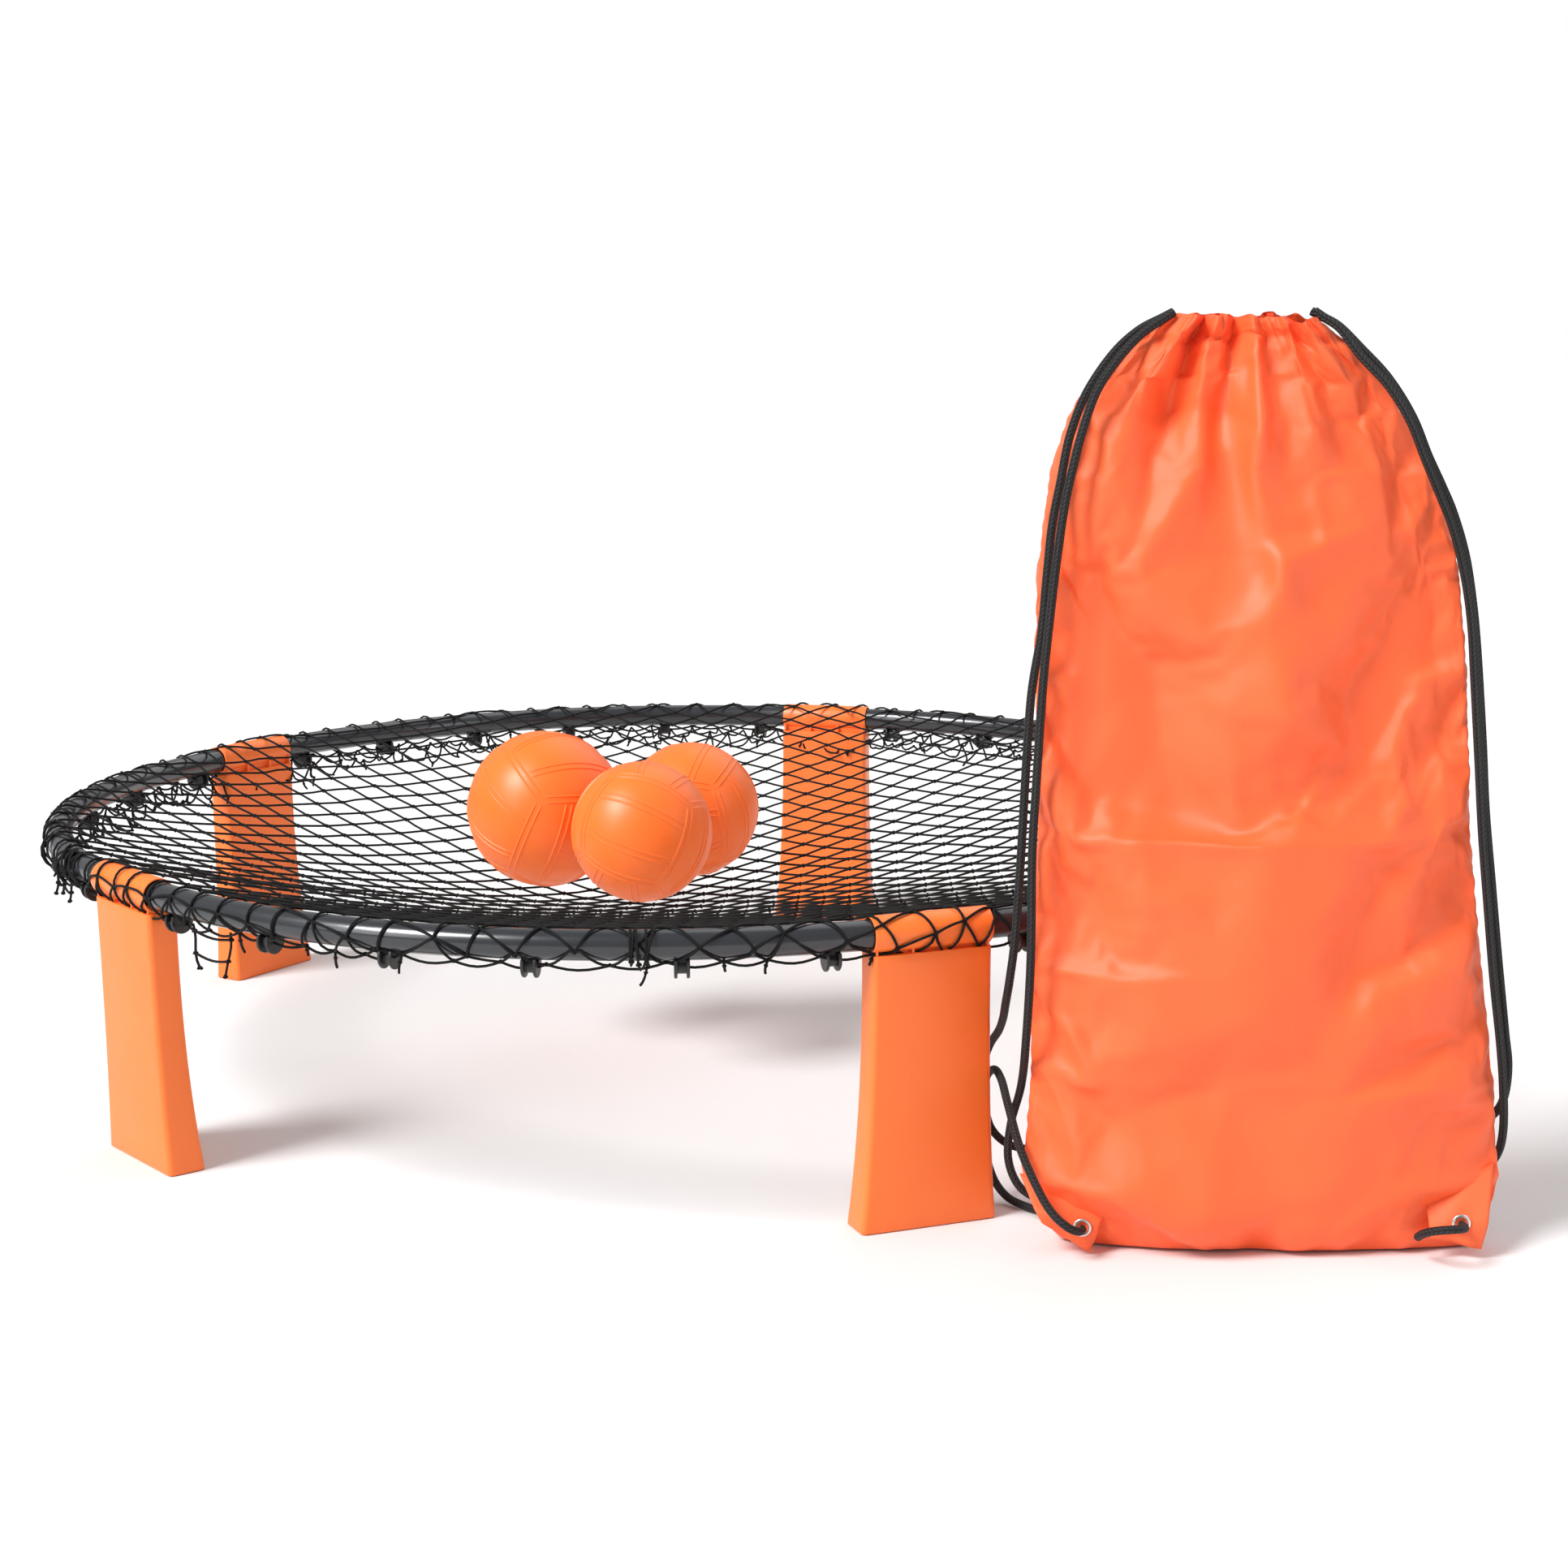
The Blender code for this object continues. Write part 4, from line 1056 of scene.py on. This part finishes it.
def make_balls(finish, valve_finish, turns):
    sides, bands = 72, 40
    across, side = Vector((1, 0, 0)), Vector((0, 1, 0))
    for name, (centre, radius, valve_direction) in BALLS.items():
        shape = Shape()
        rings = [[Vector((0, 0, -radius))]]
        for i in range(1, bands):
            t = math.pi * (1 - i / bands)
            level = Vector((0, 0, radius * math.cos(t)))
            rings.append(circle(radius * math.sin(t), sides, level, across, side))
        shape.add_loft(rings + [[Vector((0, 0, radius))]])
        add_ball_ribs(shape, radius, turns[name])
        matrix = Matrix.Translation(RING_CENTRE + centre)
        add_piece(f"ribbed_ball_{name}", shape.mesh("ribbed_ball"), finish, f"{name}_ball",
                  [f"ball_{name}"], matrix)
        valve = Shape()
        profile = [(0.0, -0.0022), (0.0007, -0.0022), (0.0008, -0.0003), (0.0013, 0.0002), (0.0026, 0.0003),
                   (0.0032, 0.0001), (0.0036, -0.0006)]
        rings = [[Vector((0, 0, radius + profile[0][1]))]]
        rings += [circle(r, 28, Vector((0, 0, radius + z)), across, side) for r, z in profile[1:]]
        valve.add_loft(rings)
        turn = valve_direction.normalized().to_track_quat("Z", "X").to_matrix().to_4x4()
        add_piece(f"inflation_valve_{name}", valve.mesh("inflation_valve"), valve_finish, f"{name}_ball",
                  [f"valve_{name}"], matrix @ turn)


# ---------------------------------------------------------------- bag

def section_at(height):
    """Left edge, right edge and half depth of the bag at a height."""
    table = np.array(BAG_SECTIONS)
    return [float(np.interp(height, table[:, 0], table[:, column])) for column in (1, 2, 3)]


# Twice the bag's middle: the back panel's folds are mirrored about it
BAG_MIRROR = 0.745
BAG_COLUMNS, BAG_ROWS, BAG_BASE_ROWS = 80, 136, 5
# Lowest row and run of the rows above it, which crowd together towards the mouth by this power
BAG_FOOT, BAG_RUN, ROW_CROWDING = 0.0012, 0.5395, 1.35
BAG_SQUARENESS = 2.3
# Pleats at the mouth: how many across, how fast they fade downwards, rise
MOUTH_PLEATS = ((4.5, 0.8, 0.0075), (9.0, 1.4, 0.0085), (19.0, 3.4, 0.0050))
MOUTH_HEIGHT, MOUTH_RUN, MOUTH_MIDDLE = 0.543, 0.14, 0.3555
# Line drawn in by the cords: height, half width, depth
PINCH_HEIGHT, PINCH_WIDTH, PINCH_DEPTH = 0.5285, 0.0035, 0.0035
# Share by which the cloth grows as it settles, and how far it may move
CLOTH_GROWTH, CLOTH_REACH = 0.07, 0.013
CLOTH_TEXTURE_SIZE = (0.29, 0.57)
TAB_CLOTH_THICKNESS = 0.0012
# Where folds meet: x and height in millimetres, rise in steps of FOLD_DEPTH. Flat facets lie between
# them. The front panel takes every second point, the back panel takes them all, mirrored and turned
FOLD_POINTS_PER_METRE = 1000
FOLD_POINTS = [
    (282, 510, 3), (292, 485, -2), (273, 484, 1), (320, 494, 4), (340, 491, -5), (349, 495, -2),
    (363, 479, 5), (369, 498, -4), (397, 476, 3), (384, 507, 2), (427, 480, -1), (450, 471, 1),
    (295, 427, 5), (330, 457, 5), (344, 466, 0), (324, 415, -5), (289, 406, 2), (352, 376, 4),
    (369, 418, -2), (390, 469, 2), (376, 406, 3), (364, 382, 1), (411, 400, -3), (457, 376, 4),
    (425, 427, 1), (459, 400, 0), (250, 388, -1), (301, 376, 2), (329, 327, -3), (350, 348, 0),
    (390, 321, 3), (420, 315, -1), (407, 348, -3), (449, 333, 2), (476, 345, -1), (281, 315, 2),
    (372, 296, -2), (402, 299, 2), (433, 284, -1), (336, 284, 1), (258, 161, 0), (307, 148, 3),
    (362, 148, 4), (396, 147, -2), (478, 168, 2), (311, 123, 1), (354, 107, -3), (392, 88, 2),
    (296, 87, -2), (321, 74, 2), (434, 108, 0), (466, 82, 1), (482, 66, -2), (496, 89, 2),
    (271, 60, 3), (290, 34, -2), (340, 29, 5), (328, 12, 0), (387, 29, -1), (421, 23, 1),
    (462, 30, -2), (361, 190, -1), (318, 193, 0), (431, 197, 0), (278, 208, 1), (467, 219, -1),
    (247, 233, 2), (387, 234, 1), (308, 246, -1), (430, 256, 2),
]
FOLD_DEPTH = 0.0020
FACET_SPACING, FACET_CLEARANCE = 0.052, 0.036
CRUMPLE_SPACING, CRUMPLE_RISE = 0.021, 0.0017
# Low left corner and spread of the scattered points, (x, height)
SCATTER_CORNER, SCATTER_SPAN = (0.20, -0.04), (0.36, 0.64)
# Folds fade out over this many columns from the side seams and rows from the bottom, and below the mouth
FADE_COLUMNS, FADE_ROWS = 6, 10
FADE_TOP, FADE_RUN = 0.535, 0.05
# Pressed lines from packing: start (x, height), end (x, height), half width, rise
BAG_CREASES = [
    ((0.250, 0.250), (0.480, 0.247), 0.0035, 0.0022), ((0.250, 0.104), (0.495, 0.108), 0.0035, 0.0018),
    ((0.368, 0.245), (0.372, 0.010), 0.0035, 0.0016), ((0.295, 0.110), (0.297, 0.020), 0.0035, 0.0010),
    ((0.300, 0.418), (0.392, 0.412), 0.0040, 0.0022), ((0.452, 0.330), (0.458, 0.260), 0.0035, 0.0014),
]


def crease_height(x, z):
    """Rise of the cloth at (x, z) from the creases: tent-shaped ridges that fade at their ends."""
    total = 0.0
    for (x0, z0), (x1, z1), width, rise in BAG_CREASES:
        dx, dz = x1 - x0, z1 - z0
        length = math.hypot(dx, dz)
        along = ((x - x0) * dx + (z - z0) * dz) / length
        across = abs((x - x0) * dz - (z - z0) * dx) / length
        if along < -0.02 or along > length + 0.02 or across > 4 * width:
            continue
        share = within(along / length)
        fade = 1.0 - 0.5 * abs(2 * share - 1)
        past = max(0.0, -along, along - length)
        total += rise * fade * math.exp(-past / 0.008) * math.exp(-across / width)
    return total


def pleat_wave(spread, waves, seed, height):
    """Sharp irregular ridges across the bag, from -1 to 1, which lean a little as they run down."""
    lean = 0.35 * noise.noise(Vector((spread * 2, height * 6, seed)))
    ripple = noise.noise(Vector((spread * waves + lean, height * 3, seed + waves)))
    return 1 - 4 * abs(ripple)


def bag_start_panel(sign):
    """Rows of points of one panel before it settles: bottom seam to mouth. sign is -1 at the front."""
    seed = 3.7 if sign < 0 else 21.3
    grid = []
    for i in range(BAG_ROWS + BAG_BASE_ROWS + 1):
        under = max(0.0, 1 - i / BAG_BASE_ROWS)
        share = max(0.0, (i - BAG_BASE_ROWS) / BAG_ROWS)
        height = BAG_FOOT + BAG_RUN * (1 - (1 - share) ** ROW_CROWDING)
        left, right, half_depth = section_at(height)
        half_depth -= 0.004
        row = []
        for j in range(BAG_COLUMNS + 1):
            turn = math.pi * (1 - j / BAG_COLUMNS)
            lean = math.copysign(abs(math.cos(turn)) ** (2 / BAG_SQUARENESS), math.cos(turn))
            deep = abs(math.sin(turn)) ** (2 / BAG_SQUARENESS)
            x = (left + right) / 2 + (right - left) / 2 * lean
            mouth = max(0.0, 1 - (MOUTH_HEIGHT - height) / MOUTH_RUN)
            spread = (x - MOUTH_MIDDLE) / (right - left)
            pleats = sum(rise * mouth ** reach * pleat_wave(spread, waves, seed, height)
                         for waves, reach, rise in MOUTH_PLEATS)
            pinch = PINCH_DEPTH * math.exp(-((height - PINCH_HEIGHT) / PINCH_WIDTH) ** 2)
            broad = noise.noise(Vector((x * 11, height * 9, seed))) * 0.0050
            out = (half_depth * deep + broad * deep) * (1 - under) + (pleats - pinch) * deep ** 0.5
            top_wave = mouth ** 8 * 0.0055 * noise.noise(Vector((spread * 11, 4.4, seed)))
            level = height * (1 - under) + 0.0010 * under + top_wave
            row.append(RING_CENTRE + Vector((x, BAG_DEPTH_MIDDLE + sign * out, level)))
        grid.append(row)
    return grid


def settle_bag(front, back):
    """Sews the two panels into one bag, lets the cloth grow a little and settle, and returns both panels."""
    rows, columns = len(front), len(front[0])
    points, faces, held = [], [], []
    front_at, back_at = {}, {}
    for i in range(rows):
        for j in range(columns):
            seam = i == 0 or j in (0, columns - 1)
            front_at[i, j] = len(points)
            back_at[i, j] = len(points) if seam else len(points) + 1
            points.append(tuple((front[i][j] + back[i][j]) / 2 if seam else front[i][j]))
            top = i / (rows - 1)
            grip = 1.0 if i <= BAG_BASE_ROWS or i == rows - 1 else 0.0
            if j in (0, columns - 1):
                grip = max(grip, 0.85)
            elif j in (1, columns - 2):
                grip = max(grip, 0.35)
            grip = max(grip, 0.5 * max(0.0, (top - 0.93) / 0.07))
            held.append(grip)
            if not seam:
                points.append(tuple(back[i][j]))
                held.append(grip)
    for i in range(rows - 1):
        for j in range(columns - 1):
            for at, flip in ((front_at, False), (back_at, True)):
                corners = [at[i, j], at[i, j + 1], at[i + 1, j + 1], at[i + 1, j]]
                corners = list(dict.fromkeys(corners[::-1] if flip else corners))
                if len(corners) > 2:
                    faces.append(corners)
    mesh = bpy.data.meshes.new("settling_bag")
    mesh.from_pydata(points, [], faces)
    bag = bpy.data.objects.new("settling_bag", mesh)
    link(bag)
    group = bag.vertex_groups.new(name="held")
    for index, grip in enumerate(held):
        group.add([index], grip, "REPLACE")
    cloth = bag.modifiers.new("cloth", "CLOTH")
    rules = cloth.settings
    rules.quality = 5
    rules.mass = 0.05
    rules.tension_stiffness = 30
    rules.compression_stiffness = 30
    rules.shear_stiffness = 12
    rules.bending_stiffness = 0.08
    rules.vertex_group_mass = "held"
    rules.pin_stiffness = 3.0
    rules.shrink_min = -CLOTH_GROWTH
    rules.use_pressure = True
    rules.uniform_pressure_force = 0.8
    rules.effector_weights.gravity = 0.35
    cloth.collision_settings.use_collision = False
    scene = bpy.context.scene
    frames = 20
    for step in range(1, frames + 1):
        scene.frame_set(step)
    settled = bag.evaluated_get(bpy.context.evaluated_depsgraph_get())
    places = [settled.matrix_world @ v.co for v in settled.data.vertices]
    bpy.data.objects.remove(bag)
    scene.frame_set(1)
    start = [Vector(p) for p in points]
    for index, place in enumerate(places):
        move = place - start[index]
        if move.length > CLOTH_REACH:
            places[index] = start[index] + move * (CLOTH_REACH / move.length)
    grids = []
    for at in (front_at, back_at):
        grids.append([[places[at[i, j]] for j in range(columns)] for i in range(rows)])
    return grids


def facet_field(points):
    """Flat facets between points of (x, height, rise), looked up by a ray straight through them."""
    flat = [Vector((x, z)) for x, z, _ in points]
    flat, _, faces, _, _, _ = delaunay_2d_cdt(flat, [], [], 0, 1e-6)
    return BVHTree.FromPolygons([Vector((p.x, p.y, points[i][2])) for i, p in enumerate(flat)], faces)


def scattered_points(spacing, rise, rng, kept=(), clear=0.0):
    """Points on a shaken grid over the panel, none of them close to a kept point."""
    points = list(kept)
    for i in range(math.ceil(SCATTER_SPAN[0] / spacing) + 1):
        for j in range(math.ceil(SCATTER_SPAN[1] / spacing) + 1):
            x = SCATTER_CORNER[0] + (i + 0.5 * (j % 2) + rng.uniform(-0.34, 0.34)) * spacing
            z = SCATTER_CORNER[1] + (j + rng.uniform(-0.34, 0.34)) * spacing
            height = rng.uniform(-rise, rise)
            if all(math.hypot(x - a, z - b) > clear for a, b, _ in kept):
                points.append((x, z, height))
    return points


def field_height(field, x, z):
    place = field.ray_cast(Vector((x, z, 1.0)), Vector((0, 0, -1)))[0]
    return place.z if place else 0.0


def add_creases(grid, sign):
    """Facets, crumples and pressed lines, laid on the settled cloth."""
    rng = random.Random(7 if sign < 0 else 8)
    kept = []
    for x, z, rise in FOLD_POINTS[::2 if sign < 0 else 1]:
        x, z = x / FOLD_POINTS_PER_METRE, z / FOLD_POINTS_PER_METRE
        kept.append((x if sign < 0 else BAG_MIRROR - x, z, -sign * rise * FOLD_DEPTH))
    facets = facet_field(scattered_points(FACET_SPACING, 2 * FOLD_DEPTH, rng, kept, FACET_CLEARANCE))
    crumples = facet_field(scattered_points(CRUMPLE_SPACING, CRUMPLE_RISE, rng))
    columns = len(grid[0])
    for i, row in enumerate(grid):
        for j, place in enumerate(row):
            local = place - RING_CENTRE
            edge = min(j, columns - 1 - j) / FADE_COLUMNS
            top = (FADE_TOP - local.z) / FADE_RUN
            fade = within(edge) * within(i / FADE_ROWS) * within(top)
            rise = field_height(facets, local.x, local.z) + field_height(crumples, local.x, local.z)
            crease = crease_height(local.x if sign < 0 else BAG_MIRROR - local.x, local.z)
            place.y += sign * (rise + crease) * fade
    return grid


def corner_tab(corners, fronts, lift, columns=18, rows=14):
    """Rows of points of a folded corner: corners run left to right along the top, then the bottom.

    fronts are the depths of its top left, its top right and its lower part. The top lies in the panel.
    """
    top_left, top_right, low_left, low_right = [Vector((x, 0, z)) for x, z in corners]
    grid = []
    for i in range(rows + 1):
        down = i / rows
        row = []
        for j in range(columns + 1):
            t = j / columns
            place = top_left.lerp(top_right, t).lerp(low_left.lerp(low_right, t), down)
            top_front = fronts[0] + (fronts[1] - fronts[0]) * t
            front = top_front + (fronts[2] - top_front) * min(down * 1.5, 1.0)
            roll = lift * math.sin(math.pi * min(down * 1.2, 1.0)) * math.sin(math.pi * t)
            ripple = 0.0010 * math.sin(9 * t + 4 * down) * down
            row.append(RING_CENTRE + Vector((place.x, front - roll + ripple, max(place.z, 0.0012))))
        grid.append(row)
    return grid


TABS = {
    "left": ([(0.2365, 0.0405), (0.2895, 0.0336), (0.2486, 0.0190), (0.2763, 0.0012)],
             (-0.4300, -0.4470, -0.4543), 0.0035),
    "right": ([(0.4716, 0.0330), (0.5130, 0.0520), (0.4736, 0.0125), (0.5031, 0.0060)],
              (-0.4465, -0.4335, -0.4543), 0.0030),
}


def make_bag(finish, nickel):
    for label, (corners, fronts, lift) in TABS.items():
        shape = Shape()
        shape.add_grid(corner_tab(corners, fronts, lift), (0.06, 0.04))
        tab = add_piece(f"folded_corner_{label}", shape.mesh("folded_corner", 0), finish, "bag")
        thick = tab.modifiers.new("two_layers", "SOLIDIFY")
        thick.thickness = TAB_CLOTH_THICKNESS
        thick.offset = 0
    grids = settle_bag(bag_start_panel(-1), bag_start_panel(1))
    for label, sign, grid in (("front", -1, grids[0]), ("back", 1, grids[1])):
        shape = Shape()
        shape.add_grid(add_creases(grid, sign), CLOTH_TEXTURE_SIZE, flip=sign > 0)
        panel = add_piece(f"bag_panel_{label}", shape.mesh("bag_panel", 0), finish, "bag",
                          ["drawstring_bag"])
        smooth = panel.modifiers.new("smooth", "SUBSURF")
        smooth.levels = smooth.render_levels = 1
    for name, (x, z) in EYELETS.items():
        shape = Shape()
        across, forward = Vector((1, 0, 0)), Vector((0, 1, 0))
        centre = RING_CENTRE + Vector((x, TAB_FRONT - 0.0003 - EYELET_WIRE_RADIUS, z))
        rings = []
        for i in range(40):
            turn = 2 * math.pi * i / 40
            out = across * math.cos(turn) + UP * math.sin(turn)
            rings.append(circle(EYELET_WIRE_RADIUS, 12, centre + out * EYELET_RING_RADIUS, out, forward))
        shape.add_loft(rings, closed_loop=True)
        add_piece(f"nickel_eyelet_{name}", shape.mesh("nickel_eyelet"), nickel, "bag",
                  [f"eyelet_{name}"])


# ---------------------------------------------------------------- studio

def add_light(name, kind, power, turn):
    data = bpy.data.lights.new(name, kind)
    data.energy = power
    light = bpy.data.objects.new(name, data)
    light.rotation_mode = "QUATERNION"
    light.rotation_quaternion = turn
    link(light)
    return light


def area_light(name, place, target, size, power):
    turn = (Vector(target) - Vector(place)).to_track_quat("-Z", "Y")
    light = add_light(name, "AREA", power, turn)
    light.location = place
    light.data.shape = "RECTANGLE"
    light.data.size, light.data.size_y = size


def sun_light(name, direction, strength, spread):
    """Wide soft light from far away, so that it lights the whole floor alike."""
    light = add_light(name, "SUN", strength, Vector(direction).to_track_quat("Z", "Y"))
    light.data.angle = math.radians(spread)


FLOOR_HALF, FLOOR_DROP, FLOOR_WHITE = 30.0, 0.0004, 0.80
WORLD_FILL = 0.45


def make_studio():
    shape = Shape()
    shape.add_grid([[Vector((x * FLOOR_HALF, y * FLOOR_HALF, -FLOOR_DROP)) for x in (-1, 0, 1)]
                    for y in (-1, 0, 1)])
    floor = bpy.data.objects.new("floor", shape.mesh("floor"))
    link(floor)
    material, _, shader, _ = start_finish("floor_white", 0.75)
    shader.inputs["Base Color"].default_value = (FLOOR_WHITE, FLOOR_WHITE, FLOOR_WHITE, 1)
    floor.data.materials.append(material)
    world = bpy.data.worlds.new("studio")
    world.use_nodes = True
    tree = world.node_tree
    fill = tree.nodes["Background"]
    fill.inputs["Color"].default_value = (1, 1, 1, 1)
    fill.inputs["Strength"].default_value = WORLD_FILL
    seen = tree.nodes.new("ShaderNodeBackground")
    seen.inputs["Color"].default_value = (1, 1, 1, 1)
    rays = tree.nodes.new("ShaderNodeLightPath")
    choice = tree.nodes.new("ShaderNodeMixShader")
    tree.links.new(rays.outputs["Is Camera Ray"], choice.inputs[0])
    tree.links.new(fill.outputs[0], choice.inputs[1])
    tree.links.new(seen.outputs[0], choice.inputs[2])
    tree.links.new(choice.outputs[0], tree.nodes["World Output"].inputs[0])
    bpy.context.scene.world = world
    bpy.context.scene.view_settings.view_transform = "Standard"
    sun_light("key", (-0.80, -0.55, 1.05), 3.1, 22)
    sun_light("back", (0.7, 0.9, 1.2), 0.7, 60)
    area_light("left box", (-1.6, -1.6, 1.3), (0.1, -0.2, 0.25), (0.8, 1.5), 14)
    area_light("right box", (1.9, -0.9, 1.0), (0.3, -0.3, 0.25), (0.5, 1.4), 5)


# ---------------------------------------------------------------- the set

view_axes = place_camera()
finishes = make_finishes()
make_cords(finishes["cord"])
make_studio()
make_tubes(finishes["tube"])
make_legs(finishes["leg"])
make_hooks(finishes["hook"])
make_net(finishes["twine"])
make_balls(finishes["ball"], finishes["valve"], ball_turns(*view_axes))
make_bag(finishes["nylon"], finishes["nickel"])
